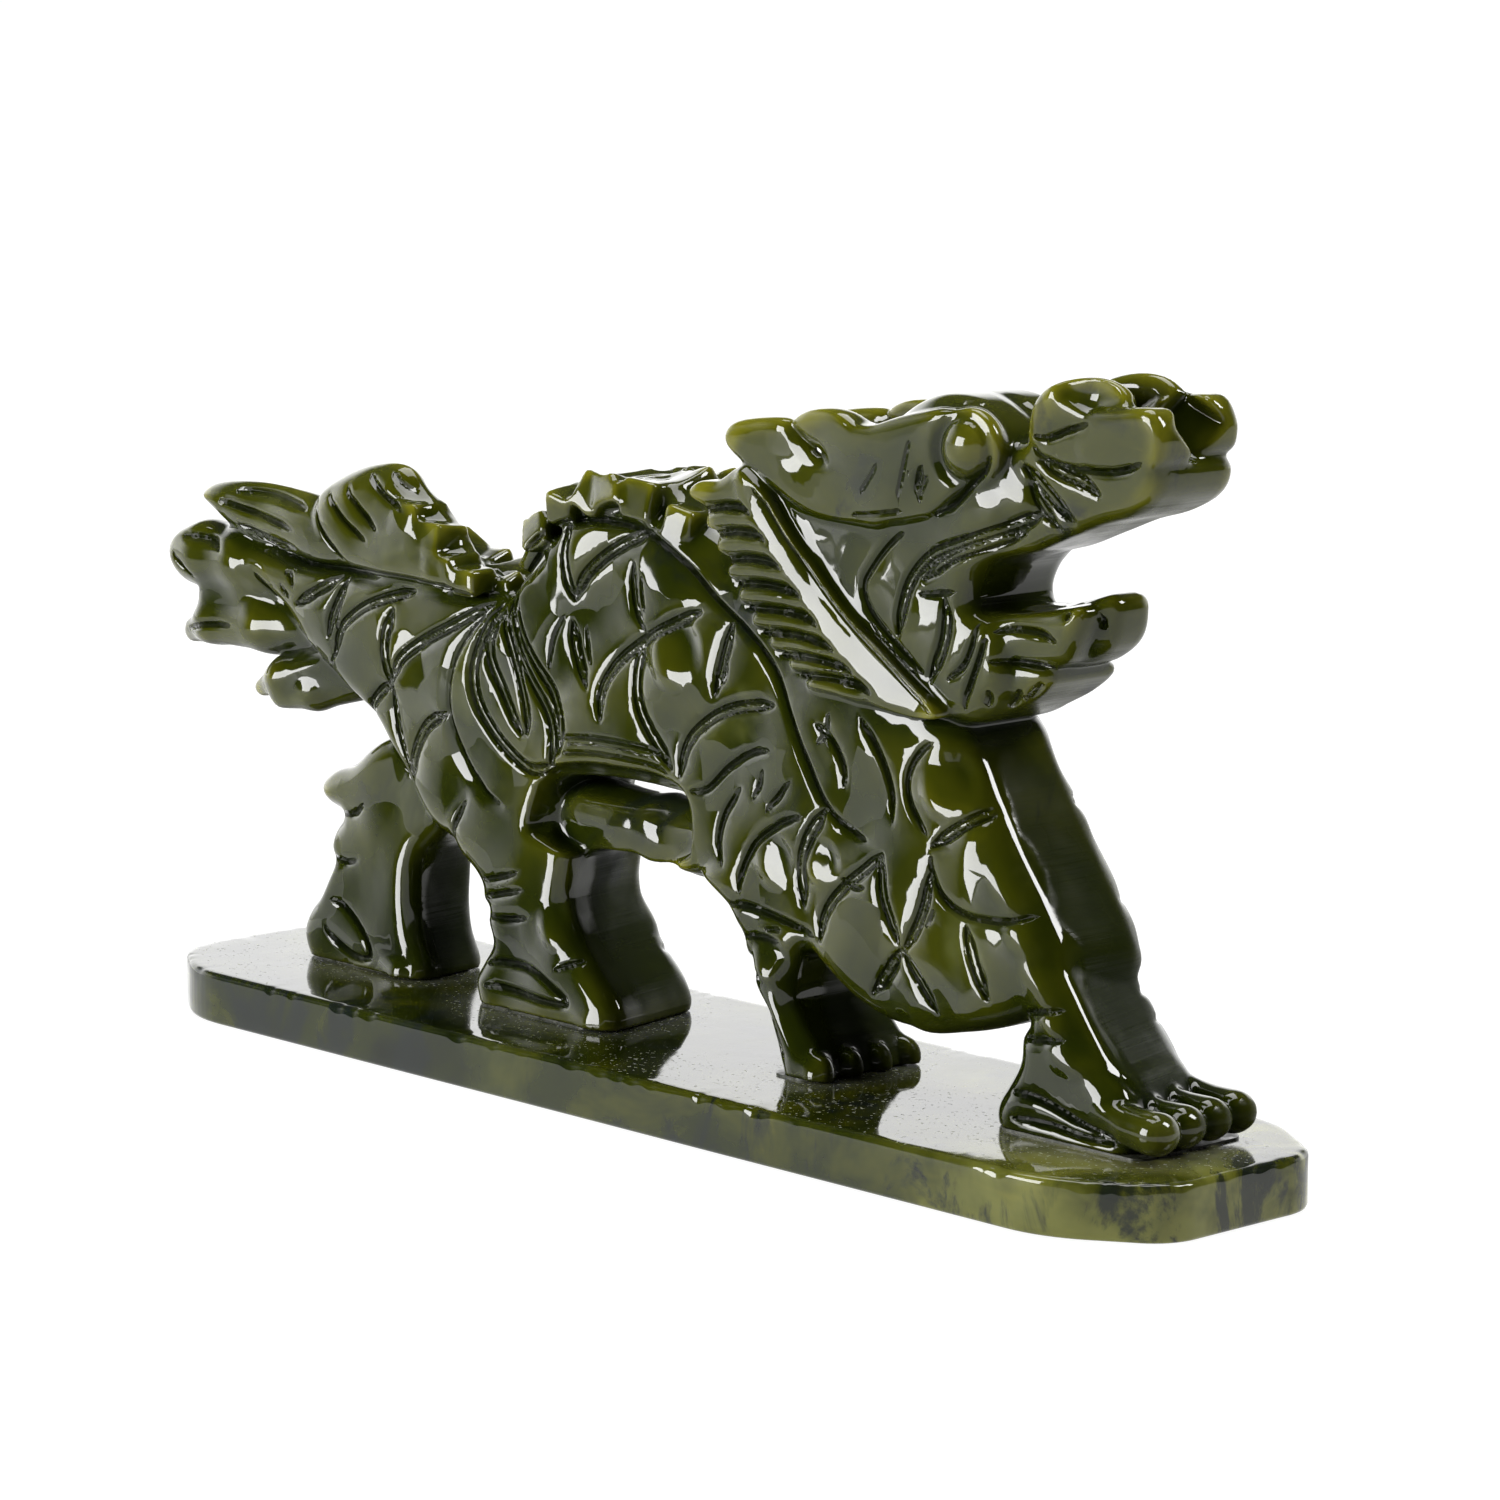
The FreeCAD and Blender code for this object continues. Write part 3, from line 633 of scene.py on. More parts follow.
def add_spine(stone, rng):
    """The rough-cut ridge of the back, notched across, and the blocks on the crest's shoulder."""
    stone.plate([(x, z - 1.6) for x, z in SPINE], 6.5, MIDDLE - 0.5, edge=0.8, dome=0.4, blend=0.6)
    for x, z in ((-26, 75.6), (-21, 79.6), (-15.6, 81.8), (-10, 82.2), (-4.4, 82.2), (1.6, 79.8)):
        for y in (-4.2, 1.4, 7.2):
            shape = [rng.uniform(2.4, 3.8), rng.uniform(2.4, 3.6), rng.uniform(2.0, 2.9)]
            centre = (x + rng.uniform(-1, 1), y, z + rng.uniform(-0.6, 0.4))
            stone.block(centre, shape, rng.uniform(-24, 24), rng.uniform(-22, 22), blend=1.0)
    for x, z in ((-29, 79), (-23.4, 84), (-16.5, 86.6), (-9.6, 86.4), (-3.0, 86.8), (1.8, 84)):
        for y in (-6.5, -1.5, 4.0, 9.0):
            shape = [rng.uniform(1.0, 1.8), 3.0, rng.uniform(1.0, 1.8)]
            centre = (x + rng.uniform(-1.5, 1.5), y, z + rng.uniform(-0.5, 0.5))
            stone.block(centre, shape, 45 + rng.uniform(-12, 12), rng.uniform(-25, 25), cut=True)
    shoulder = [(-53, 75, 2.4), (-48.6, 72.4, 2.4), (-45, 69.6, 2.3), (-42, 67, 2.0)]
    middle_blocks = [(-56, 69.4, 2.8), (-50, 67.6, 2.8), (-44, 66.2, 2.4), (-38.6, 65.6, 2.0)]
    for path, rows in ((shoulder, (-5.4,)), (middle_blocks, (-1.5, 4.5))):
        for x, z, size in path:
            for y in rows:
                shape = [size * rng.uniform(1.0, 1.4), size * rng.uniform(1.0, 1.4),
                         size * rng.uniform(0.7, 1.0)]
                centre = (x + rng.uniform(-0.8, 0.8), y, z + rng.uniform(-0.5, 0.5))
                stone.block(centre, shape, rng.uniform(-30, 30), rng.uniform(-25, 25), blend=1.0)


def add_tail(stone):
    """The long leaf on each side, the shell-shaped crest beside it and the tufts behind."""
    stone.plate(PLUME, 4.2, MIDDLE - 6.4, edge=4.0, dome=1.6, blend=1.0)
    stone.plate([(x + 3, z - 3) for x, z in PLUME], 3.2, MIDDLE + 6.4, dome=1.6, blend=1.0)
    stone.plate(CREST, 5.0, MIDDLE - 6.4, edge=4.6, dome=2.2, reach=4.0, blend=0.6)
    for points, radii in TUFTS:
        stone.tube(points, radii, flat=1.15, blend=1.4)


def add_toes(stone):
    """Four long toes with hollows between them on the leading foot, and short ones on the other feet."""
    for i, y in enumerate((-5.9, -0.5, 4.9, 10.2)):
        back = i * 0.6
        toe = [(82 - back, y, 12.4), (86 - back, y, 11.4), (90.4 - back, y, 11.2)]
        stone.tube(toe, [2.3, 2.6, 2.85], blend=0.4)
        if i < 3:
            gap = y + 2.7
            hollow = [(88.6, gap, 13.4), (84.6, gap, 15.6),
                      (81.6, gap - 2.0, 18.2), (78.4, gap - 4.2, 21.6)]
            stone.tube(hollow, [0.9, 0.8, 0.6, 0.2], blend=0.3, cut=True)
    stone.tube([(94.2, -9, 11.6), (92.2, 13.4, 11.6)], [0.55, 0.55], blend=0.3, cut=True)
    for front, low, high in ((31.4, -5.6, 10.4), (-12.2, -5.6, 10.6), (-56.6, -3.2, 7.0)):
        for k in range(4):
            y = low + (high - low) * k / 3
            lean = 0.25 * (y - NEAR) if front < 0 else 0.0
            stone.tube([(front - lean - 7, y, 10.4), (front - lean - 2.2, y, 8.7)], [1.8, 2.6], blend=0.5)


SIXTEENTH_TURN = 0.3927    # radians


def add_head(stone):
    """Skull, jaws, ears, mane and beard, the same on both sides."""
    stone.plate(NECK, 9.6, dome=0.6)
    stone.plate(SKULL, 9.4, dome=1.6)
    stone.tube([(47, MIDDLE, 102), (55, MIDDLE, 101.8), (63, MIDDLE, 97.6)], [0.8, 1.7, 1.6], cut=True)
    stone.plate(SNOUT, 7.8, edge=2.2, dome=0.6)
    stone.plate(JAW, 7.4, MIDDLE - 0.6, edge=2.2)
    stone.plate(JAW_TIP, 4.0, MIDDLE + 0.5, edge=2.0, dome=0.4, blend=1.2)
    stone.plate(BEARD, 7.4, edge=2.0, dome=0.5, blend=0.5)
    for side in (-1, 1):
        y = MIDDLE + side * 5.0
        stone.plate(EAR_BACK, 2.4, MIDDLE + side * 9.0, edge=1.5, dome=0.6, blend=0.5)
        stone.plate(EAR_FRONT, 2.4, MIDDLE + side * 8.6, edge=1.4, dome=0.5, blend=0.5)
        stone.plate(FRINGE, 3.0, MIDDLE + side * 9.2, edge=1.4, dome=0.5, blend=0.5)
        stone.plate(COLLAR, 3.2, MIDDLE + side * 9.3, edge=1.0, dome=0.3, blend=0.3)
        # nostril: a thick curl round a hollow, then the upright lobe in front of it
        stone.plate(CURL, 2.9, y, edge=2.0, dome=0.4)
        hollow = [(x, y + side * 3.2, z) for x, z in ((72.4, 102.6), (76, 102.2), (80.6, 102.6))]
        stone.tube(hollow, [2.0, 2.7, 2.5], blend=0.3, cut=True)
        lift = 0.5 + 0.5 * side
        lobe = [(x - 0.6 * lift, z + lift) for x, z in LOBE]
        stone.plate(lobe, 3.6, y - side * 0.6, edge=1.2, dome=0.3, blend=0.4)
        # eye: a ball in a ringed socket on a low boss
        face = MIDDLE + side * 11.0
        x, z = EYE
        turns = [t * SIXTEENTH_TURN for t in range(17)]
        boss, ring = ([(x + r * math.cos(t), z + r * math.sin(t)) for t in turns] for r in (5.3, 4.15))
        stone.plate(boss[:-1], 2.6, face - side * 2.6, edge=2.2, dome=0.3, reach=2.0, blend=1.0)
        stone.tube([(a, face - side * 0.3, b) for a, b in ring], [0.85] * 17, blend=0.2, cut=True)
        ball = face - side * 2.9
        stone.tube([(x, ball, z), (x + 0.1, ball, z)], [4.35, 4.35], blend=0.1)
    # the hollow between the nostrils, and the notch that parts the lobes
    parting = [(70, MIDDLE, 104), (76, MIDDLE, 103), (84, MIDDLE, 101)]
    stone.tube(parting, [1.0, 1.6, 1.8], blend=0.6, cut=True)
    stone.block((86.4, MIDDLE + 0.4, 99.0), (6, 3.3, 3.3), -20, 45, blend=0.2, cut=True)


def build_dragon():
    rng = np.random.default_rng(11)
    stone = Stone((-120, MIDDLE - 15, 5.5), (97, MIDDLE + 15, 108), STEP)
    stone.plate(TRUNK, FLANK, edge=4.0, dome=2.2, reach=8.0)
    stone.plate(CHEST, FLANK, edge=4.0, dome=1.6, reach=8.0)
    stone.plate(HIND_LEG, FLANK - 0.5, edge=3.4, slope=0.2, dome=0.6)
    stone.plate(HIND_FAR_LEG, 7.5, slope=0.12, dome=0.6)
    stone.plate(TRAIL_LEG, FLANK - 0.5, dome=0.6)
    stone.plate(LEAD_LEG, FLANK, edge=4.0, slope=0.24, dome=1.4, reach=7.0)
    add_tail(stone)
    add_head(stone)
    add_spine(stone, rng)
    add_toes(stone)
    # the slit under the belly, with its mouths hollowed out and the bar left below it
    stone.plate(SLIT_WAIST, FLANK + 3, edge=0.5, dome=0, cut=True)
    for side in (-1, 1):
        stone.plate(SLIT_MOUTH, 7.0, MIDDLE + side * (FLANK + 1), edge=6.0, dome=0, cut=True)
    stone.tube([(x, MIDDLE, z + 1.2) for x, z in BAR], [4.0, 3.8, 3.6, 3.6, 3.8], flat=1.5, blend=1.0)
    stone.tube([(x, MIDDLE, z - 1.2) for x, z in BAR], [2.2, 2.1, 2.0, 2.1, 2.3], flat=4.6, blend=3.0)
    stone.smooth(2 if STEP < 0.5 else 1)
    carve_lines(stone)
    stone.undulate(rng, 0.34, 18.0)
    stone.engrave()
    stone.smooth(1)
    stone.field = np.maximum(stone.field, (SOLE - stone.axes[2]).astype(np.float32)[None, None, :])
    return stone


# ---------------------------------------------------------------- the slab
SLAB_CUT_LENGTH = 14.0
SLAB_CUT_WIDTH = 9.25
SLAB_SIDE_RADIUS = 20.0
SLAB_FRONT_RADIUS = 8.0
SLAB_BACK_RADIUS = 12.0


def slab_outline(spacing):
    """The slab's outline from above: a rectangle with cut corners, rounded at both ends of each cut."""
    half_x = DRAWN_LENGTH / 2
    half_y = (slab_high.y - slab_low.y) / 2 / UNIT
    corners = []
    for sx, sy in ((1, 1), (-1, 1), (-1, -1), (1, -1)):
        pair = [(sx * half_x, sy * (half_y - SLAB_CUT_WIDTH)),
                (sx * (half_x - SLAB_CUT_LENGTH), sy * half_y)]
        corners += pair if sx * sy > 0 else pair[::-1]
    path = []
    for i, corner in enumerate(corners):
        before = np.array(corners[i - 1]) - corner
        after = np.array(corners[(i + 1) % len(corners)]) - corner
        before, after = before / np.linalg.norm(before), after / np.linalg.norm(after)
        turn = math.pi - math.acos(float(before @ after))
        radius = SLAB_FRONT_RADIUS if corner[0] > 0 else SLAB_BACK_RADIUS
        if abs(corner[0]) < half_x:
            radius = SLAB_SIDE_RADIUS
        back = radius * math.tan(turn / 2)
        centre = corner + (before + after) / np.linalg.norm(before + after) * (radius / math.cos(turn / 2))
        x, y = corner + before * back - centre
        for angle in np.linspace(0, turn, 9):
            c, s = math.cos(angle), math.sin(angle)
            path.append(centre + np.array((x * c - y * s, x * s + y * c)))
    fine = []
    for a, b in zip(path, path[1:] + path[:1]):
        steps = max(1, round(np.linalg.norm(b - a) / spacing))
        fine += [a + (b - a) * k / steps for k in range(steps)]
    return np.array(fine)


def build_slab(rng):
    """The slab, with eased edges that are chipped here and there along the top."""
    rim = slab_outline(0.5)
    count = len(rim)
    ahead = np.roll(rim, -2, axis=0) - np.roll(rim, 2, axis=0)
    outward = np.stack([ahead[:, 1], -ahead[:, 0]], axis=1) / np.linalg.norm(ahead, axis=1, keepdims=True)
    around = np.arange(count)
    chip = np.zeros(count)
    for _ in range(90):
        at, size, width = rng.integers(count), rng.uniform(0.05, 0.3) ** 1.3, rng.uniform(1.2, 3.5)
        away = np.abs((around - at + count / 2) % count - count / 2)
        chip = np.maximum(chip, size * np.clip(1 - (away / width) ** 2, 0, 1))
    wave = 0.06 * np.sin(around * 0.05) + 0.05 * np.sin(around * 0.021 + 1)
    # rows of the side, from under the slab to its top: inset, height, share of the chips
    rows = [(5.0, 0.0, 0), (0.6, 0.0, 0), (0.18, 0.18, 0), (0.0, 0.6, 0), (0.0, 2.4, 0), (0.0, 4.4, 0)]
    rows += [(inset, SLAB_TOP - down, worn) for inset, down, worn in
             ((0.0, 2.0, 0), (0.0, 0.75, 0.5), (0.16, 0.3, 1), (0.5, 0.06, 1), (0.9, 0, 0.5),
              (1.6, 0, 0), (5.0, 0, 0))]
    verts = []
    for inset, height, worn in rows:
        into = inset + worn * chip * 0.8 + wave * (0 < height < SLAB_TOP)
        flat = rim - outward * into[:, None]
        verts += [(x, y, z) for (x, y), z in zip(flat, height - worn * chip * 0.6)]
    faces = []
    for start in range(0, (len(rows) - 1) * count, count):
        for i in range(count):
            j = (i + 1) % count
            faces.append((start + i, start + j, start + count + j, start + count + i))
    faces.append(tuple(range(count))[::-1])
    faces.append(tuple(range((len(rows) - 1) * count, len(rows) * count)))
    data = bpy.data.meshes.new("slab_carving")
    data.from_pydata((np.array(verts) * UNIT + np.array(ORIGIN)).tolist(), [], faces)
    data.polygons.foreach_set("use_smooth", [len(p.vertices) == 4 for p in data.polygons])
    data.update()
    return bpy.data.objects.new("slab_carving", data)


# ---------------------------------------------------------------- materials
FOOT_BEDS = [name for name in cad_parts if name.startswith("adhesive")]

# On the carving OLIVE_EDGE is a painted glow of thin stone and NIGHT_GREEN the painted shade of hollows,
# grooves and undersides; on the slab they are plain tones of the stone
OLIVE_EDGE = (0.105, 0.102, 0.0060)
OLIVE = (0.031, 0.035, 0.0017)
DEEP_GREEN = (0.012, 0.0165, 0.0010)
NIGHT_GREEN = (0.004, 0.0065, 0.0012)
CLOUD = (0.070, 0.078, 0.020)
SMUDGE = (0.006, 0.009, 0.007)
PALE_END = (0.15, 0.155, 0.030)
DUST = (0.36, 0.37, 0.31)


class Nodes:
    """A small helper that adds and joins the shader nodes of a material or a world."""

    def __init__(self, owner, shader="Principled BSDF"):
        owner.use_nodes = True
        self.owner = owner
        self.tree = owner.node_tree
        self.shader = self.tree.nodes[shader]
        self.coordinates = self.add("ShaderNodeTexCoord").outputs
        self.place = self.coordinates["Object"]

    def fill(self, node, values):
        for key, value in values.items():
            if isinstance(value, bpy.types.NodeSocket):
                self.tree.links.new(value, node.inputs[key])
            else:
                node.inputs[key].default_value = value
        return node

    def add(self, kind, values=None, **settings):
        node = self.tree.nodes.new(kind)
        for key, value in settings.items():
            setattr(node, key, value)
        return self.fill(node, values or {})

    def attribute(self, name):
        return self.add("ShaderNodeAttribute", attribute_name=name).outputs["Fac"]

    def moved(self, scale, shift=(0, 0, 0), turn=(0, 0, 0)):
        values = {"Vector": self.place, "Scale": scale, "Location": shift, "Rotation": turn}
        return self.add("ShaderNodeMapping", values).outputs["Vector"]

    def noise(self, scale, detail=3.0, roughness=0.55, distortion=0.0, vector=None, output="Fac"):
        values = {"Vector": vector or self.place, "Scale": scale, "Detail": detail,
                  "Roughness": roughness, "Distortion": distortion}
        return self.add("ShaderNodeTexNoise", values).outputs[output]

    def ramp(self, factor, stops):
        node = self.add("ShaderNodeValToRGB", {"Fac": factor})
        node.color_ramp.interpolation = "EASE"
        elements = node.color_ramp.elements
        while len(elements) < len(stops):
            elements.new(0.5)
        for element, (position, colour) in zip(elements, stops):
            element.position = position
            element.color = (*colour, 1) if isinstance(colour, tuple) else (colour, colour, colour, 1)
        return node.outputs["Color"]

    def rescale(self, value, low, high, first, last):
        """Takes low..high to first..last, and holds the ends."""
        values = {"Value": value, "From Min": low, "From Max": high, "To Min": first, "To Max": last}
        return self.add("ShaderNodeMapRange", values).outputs["Result"]

    def mix(self, factor, a, b):
        a, b = ((*c, 1) if isinstance(c, tuple) else c for c in (a, b))
        return self.add("ShaderNodeMix", {0: factor, 6: a, 7: b}, data_type="RGBA").outputs[2]

    def math(self, operation, a, b=0.0, clamp=False):
        return self.add("ShaderNodeMath", {0: a, 1: b}, operation=operation, use_clamp=clamp).outputs[0]

    def plus(self, a, b):
        return self.math("ADD", a, b)

    def minus(self, a, b, clamp=False):
        return self.math("SUBTRACT", a, b, clamp)

    def times(self, a, b):
        return self.math("MULTIPLY", a, b)

    def vector(self, operation, a, b=(0, 0, 0), **more):
        return self.add("ShaderNodeVectorMath", {0: a, 1: b, **more}, operation=operation).outputs["Vector"]

    def split(self, vector):
        return self.add("ShaderNodeSeparateXYZ", {"Vector": vector}).outputs

    def bump(self, height, strength, distance, below=None):
        values = {"Height": height, "Strength": strength, "Distance": distance}
        if below is not None:
            values["Normal"] = below
        return self.add("ShaderNodeBump", values).outputs["Normal"]

    def leant(self, normal, lean, where):
        """The normal, leaning by this vector where the mask is 1."""
        lean = self.vector("SCALE", lean, Scale=where)
        return self.vector("NORMALIZE", self.vector("ADD", normal, lean))

    def leaning_spots(self, normal, where):
        """The polished flank was ground in spots that each lean a little their own way."""
        sway = self.noise(90.0, 2.0, 0.5, output="Color")
        swayed = self.add("ShaderNodeVectorMath", {0: sway, 1: (0.009, 0.009, 0.009), 2: self.place},
                          operation="MULTIPLY_ADD").outputs["Vector"]
        spots = self.add("ShaderNodeTexVoronoi", {"Vector": swayed, "Scale": 85.0, "Smoothness": 0.16},
                         feature="SMOOTH_F1")
        split = self.add("ShaderNodeSeparateColor", {"Color": spots.outputs["Color"]}).outputs
        up = self.minus(self.ramp(split["Green"], [(0.30, 0.06), (0.50, 0.34)]), 0.08)
        along = self.minus(self.ramp(split["Red"], [(0.76, 0.06), (0.92, 0.30)]), 0.14)
        return self.leant(normal, self.add("ShaderNodeCombineXYZ", {"X": along, "Z": up}).outputs[0], where)


def polish(n, colour, rough, normal):
    """The glassy polish over the jade: clear, very smooth, with the faint waves of hand polishing."""
    n.fill(n.shader, {"Base Color": colour, "Roughness": rough, "Normal": normal, "IOR": 1.5,
                      "Specular IOR Level": 0.42, "Subsurface Weight": 0.25,
                      "Subsurface Radius": (1.0, 1.1, 0.25), "Subsurface Scale": 0.0022})


def jade_carving():
    """Olive-green jade, clouded and smudged, with painted light: a painted glow makes it yellower where it
    is thin, painted shade makes it near black in the hollows, and it grows darker towards the bottom.
    """
    n = Nodes(bpy.data.materials.new("jade_carving"))
    x, y, z = n.split(n.place)
    tall = n.math("DIVIDE", z, 100 * UNIT)
    patches = n.times(n.minus(n.noise(48, 3.0, 0.5, 0.4), 0.5), 0.5)
    # painted glow and painted shade: low bulk on thin edges turns olive-yellow, high bulk in the hollows
    # turns near black; the patches add random tone, and the colour darkens towards the bottom
    depth = n.plus(n.plus(n.attribute("bulk"), patches), n.ramp(tall, [(0.16, 0.14), (0.30, 0.0)]))
    colour = n.ramp(depth, [(0.20, OLIVE_EDGE), (0.38, OLIVE), (0.56, DEEP_GREEN), (0.78, NIGHT_GREEN)])
    clouds = n.noise(36, 4.0, 0.6, 0.6, n.moved((1, 1, 1), (0.31, 0.12, 0.05)))
    colour = n.mix(n.ramp(clouds, [(0.58, 0.0), (0.74, 0.55)]), colour, CLOUD)
    smudges = n.noise(30, 6.0, 0.65, 1.2, n.moved((1, 1, 0.7), (0.9, 0.4, 0.2)))
    colour = n.mix(n.ramp(smudges, [(0.60, 0.0), (0.70, 0.8)]), colour, SMUDGE)
    # the far half of the legs' fronts and the undersides were left as the saw and the burr cut them, and
    # are painted darker as shade
    stone_normal = n.add("ShaderNodeNewGeometry").outputs["Normal"]
    ahead, aside, above = n.split(stone_normal)
    facing = n.math("ABSOLUTE", aside)
    front = n.times(n.ramp(ahead, [(0.55, 0.0), (0.8, 1.0)]), n.ramp(tall, [(0.42, 1.0), (0.62, 0.0)]))
    inward = n.plus(n.math("DIVIDE", n.minus(y, ORIGIN.y), 10 * UNIT), n.noise(60, 3.0, 0.6))
    front = n.times(front, n.ramp(inward, [(0.3, 0.0), (0.5, 1.0)]))
    under = n.ramp(n.times(above, -1.0), [(0.6, 0.0), (0.9, 1.0)])
    sawn_and_shaded = n.times(n.math("MAXIMUM", front, under), n.ramp(n.noise(55, 3.0, 0.6), [(0.3, 0.6), (0.6, 1.0)]))
    marks = n.noise(1.0, 4.0, 0.6, 0.0, n.moved((70, 30, 1300), turn=(0.1, 0.15, 0)))
    # the flanks were ground in spots, less so in front of the collar and not on the leading edge
    past_collar = n.plus(n.times(x, 0.48 / UNIT), n.times(z, 0.88 / UNIT))
    past_collar = n.minus(past_collar, (ORIGIN.x * 0.48 + ORIGIN.z * 0.88) / UNIT + 68.0)
    calm = n.times(n.ramp(n.math("DIVIDE", past_collar, 10.0), [(0.3, 0.0), (0.7, 1.0)]), 0.95)
    spotted = n.minus(n.ramp(facing, [(0.75, 0.0), (0.95, 1.0)]), calm, True)
    leading = n.minus(n.math("DIVIDE", x, 100 * UNIT), ORIGIN.x / (100 * UNIT))
    spotted = n.times(spotted, n.ramp(leading, [(0.58, 1.0), (0.63, 0.0)]))
    ground = n.leaning_spots(stone_normal, spotted)
    # the sides of the face and the ears turn a little towards the ground
    face = n.times(n.ramp(n.math("DIVIDE", past_collar, 50.0), [(0.42, 0.0), (0.52, 1.0)]),
                   n.ramp(facing, [(0.4, 0.0), (0.75, 1.0)]))
    ground = n.leant(ground, (-0.04, 0.0, -0.15), face)
    waves = n.bump(n.noise(150, 2.0, 0.5), 0.10, 0.0006, ground)
    scored = n.bump(n.times(marks, sawn_and_shaded), 0.3, 0.0005, waves)
    rough = n.mix(sawn_and_shaded, n.ramp(n.noise(90, 3.0, 0.6), [(0.40, 0.03), (0.80, 0.08)]), (0.3, 0.3, 0.3))
    # the sharp bottoms of the ground lines, sharpened by a bump and painted dark as shade in the grooves
    from_twin = n.math("ABSOLUTE", n.minus(n.attribute("twins"), TWIN_GAP))
    twin = n.minus(1.0, n.math("DIVIDE", from_twin, 0.36), True)
    single = n.minus(1.0, n.math("DIVIDE", n.math("ABSOLUTE", n.attribute("line_side")), 0.5), True)
    single = n.times(single, n.ramp(n.attribute("near_line"), [(0.7, 1.0), (1.0, 0.0)]))
    groove_bottoms_and_shade = n.times(n.math("MAXIMUM", twin, single), n.ramp(facing, [(0.4, 0.0), (0.7, 1.0)]))
    crisp = n.bump(n.times(groove_bottoms_and_shade, -1.0), 1.0, 0.45 * UNIT, scored)
    # painted shade: the sawn fronts and the undersides are darkened towards near black
    colour = n.mix(n.times(sawn_and_shaded, 0.5), colour, NIGHT_GREEN)
    # painted shade: the bottoms of the grooves are darkened towards near black
    polish(n, n.mix(n.times(groove_bottoms_and_shade, 0.7), colour, NIGHT_GREEN), rough, crisp)
    n.fill(n.shader, {"Specular IOR Level": n.ramp(sawn_and_shaded, [(0.0, 0.42), (1.0, 0.03)])})
    return n.owner


def jade_slab():
    """The slab's jade: paler and cloudier, with dark bluish veins and dust on the top."""
    n = Nodes(bpy.data.materials.new("jade_slab"))
    body = n.noise(42, 4.0, 0.6, 0.5, n.moved((1, 1, 1.6)))
    end = n.math("DIVIDE", n.minus(n.split(n.place)[0], ORIGIN.x), 100 * UNIT)
    end = n.ramp(end, [(0.5, 0.0), (0.95, 0.2)])
    greens = [(0.32, NIGHT_GREEN), (0.48, DEEP_GREEN), (0.64, OLIVE), (0.82, OLIVE_EDGE)]
    colour = n.ramp(n.plus(body, end), greens)
    clouds = n.noise(26, 5.0, 0.6, 0.7, n.moved((1, 1, 1.2), (0.5, 0.2, 0.9)))
    colour = n.mix(n.ramp(clouds, [(0.52, 0.0), (0.70, 0.35)]), colour, CLOUD)
    pale = n.times(n.times(end, 5.0), n.ramp(n.noise(60, 4.0, 0.6, 0.5), [(0.35, 0.0), (0.6, 0.8)]))
    colour = n.mix(pale, colour, PALE_END)
    veins = n.noise(40, 7.0, 0.68, 1.2, n.moved((1.3, 1.3, 0.6), (0.15, 0.7, 0.3)))
    colour = n.mix(n.ramp(veins, [(0.52, 0.0), (0.60, 0.9)]), colour, SMUDGE)
    # dust: fine specks over the top, thicker round the feet
    near_feet = 0.0
    for name in FOOT_BEDS:
        low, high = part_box(name)
        reach = tuple(1 / (half / 2 + 5 * UNIT) for half in (high - low)[:2]) + (0.0,)
        offset = n.vector("MULTIPLY", n.vector("SUBTRACT", n.place, tuple((low + high) / 2)), reach)
        away = n.add("ShaderNodeVectorMath", {0: offset}, operation="LENGTH").outputs["Value"]
        near_feet = n.math("MAXIMUM", n.minus(1.6, away), near_feet)
    halo = n.times(n.ramp(near_feet, [(0.1, 0.0), (0.75, 1.0)]), n.noise(300, 5.0, 0.7))
    top = n.ramp(n.split(n.add("ShaderNodeNewGeometry").outputs["Normal"])[2], [(0.9, 0.0), (0.99, 1.0)])
    thick = n.plus(n.ramp(n.noise(26, 3.0, 0.6), [(0.45, 0.15), (0.62, 1.0)]), n.times(halo, 1.6))
    specks = n.times(n.ramp(n.noise(1700, 1.0, 0.5), [(0.665, 0.0), (0.71, 1.0)]), thick)
    dust = n.times(n.math("ADD", n.times(halo, 0.5), specks, True), top)
    colour = n.mix(n.times(dust, 0.6), colour, DUST)
    rough = n.plus(n.times(dust, 0.45), n.ramp(n.noise(70, 4.0, 0.6), [(0.4, 0.03), (0.8, 0.09)]))
    polish(n, colour, rough, n.bump(n.noise(120, 3.0, 0.5), 0.06, 0.0005))
    return n.owner


def cured_glue():
    """Thin dark adhesive that has picked up a little pale dust."""
    n = Nodes(bpy.data.materials.new("adhesive"))
    colour = n.ramp(n.noise(900, 4.0, 0.6), [(0.35, (0.015, 0.018, 0.010)), (0.7, (0.06, 0.06, 0.045))])
    rough = n.ramp(n.noise(600, 2.0, 0.5), [(0.3, 0.2), (0.7, 0.5)])
    n.fill(n.shader, {"Base Color": colour, "Roughness": rough})
    return n.owner


# ---------------------------------------------------------------- floor, light and camera
FLOOR_HALF = 14.0                          # metres
BACKDROP_DIRECTION = (-0.72, 0.68, 0.0)    # the bright wall, behind the carving
CAMERA_PLACE = (524.3, -476.8, 165.5)      # mm from the middle of the slab's underside
CAMERA_DIRECTION = (-0.7235, 0.6706, -0.1639)
CAMERA_LENS = 126.96                       # mm, on a sensor 36 mm wide


def white_floor():
    n = Nodes(bpy.data.materials.new("white_sweep"))
    colour = n.ramp(n.noise(3, 2.0), [(0.0, (0.11, 0.11, 0.11)), (1.0, (0.13, 0.13, 0.13))])
    n.fill(n.shader, {"Base Color": colour, "Roughness": 0.7, "Emission Color": (1, 1, 1, 1),
                      "Emission Strength": 0.9})
    corners = [(x * FLOOR_HALF, y * FLOOR_HALF, ORIGIN.z) for x, y in ((-1, -1), (1, -1), (1, 1), (-1, 1))]
    data = bpy.data.meshes.new("floor")
    data.from_pydata(corners, [], [(0, 1, 2, 3)])
    data.materials.append(n.owner)
    floor = bpy.data.objects.new("floor", data)
    bpy.context.scene.collection.objects.link(floor)


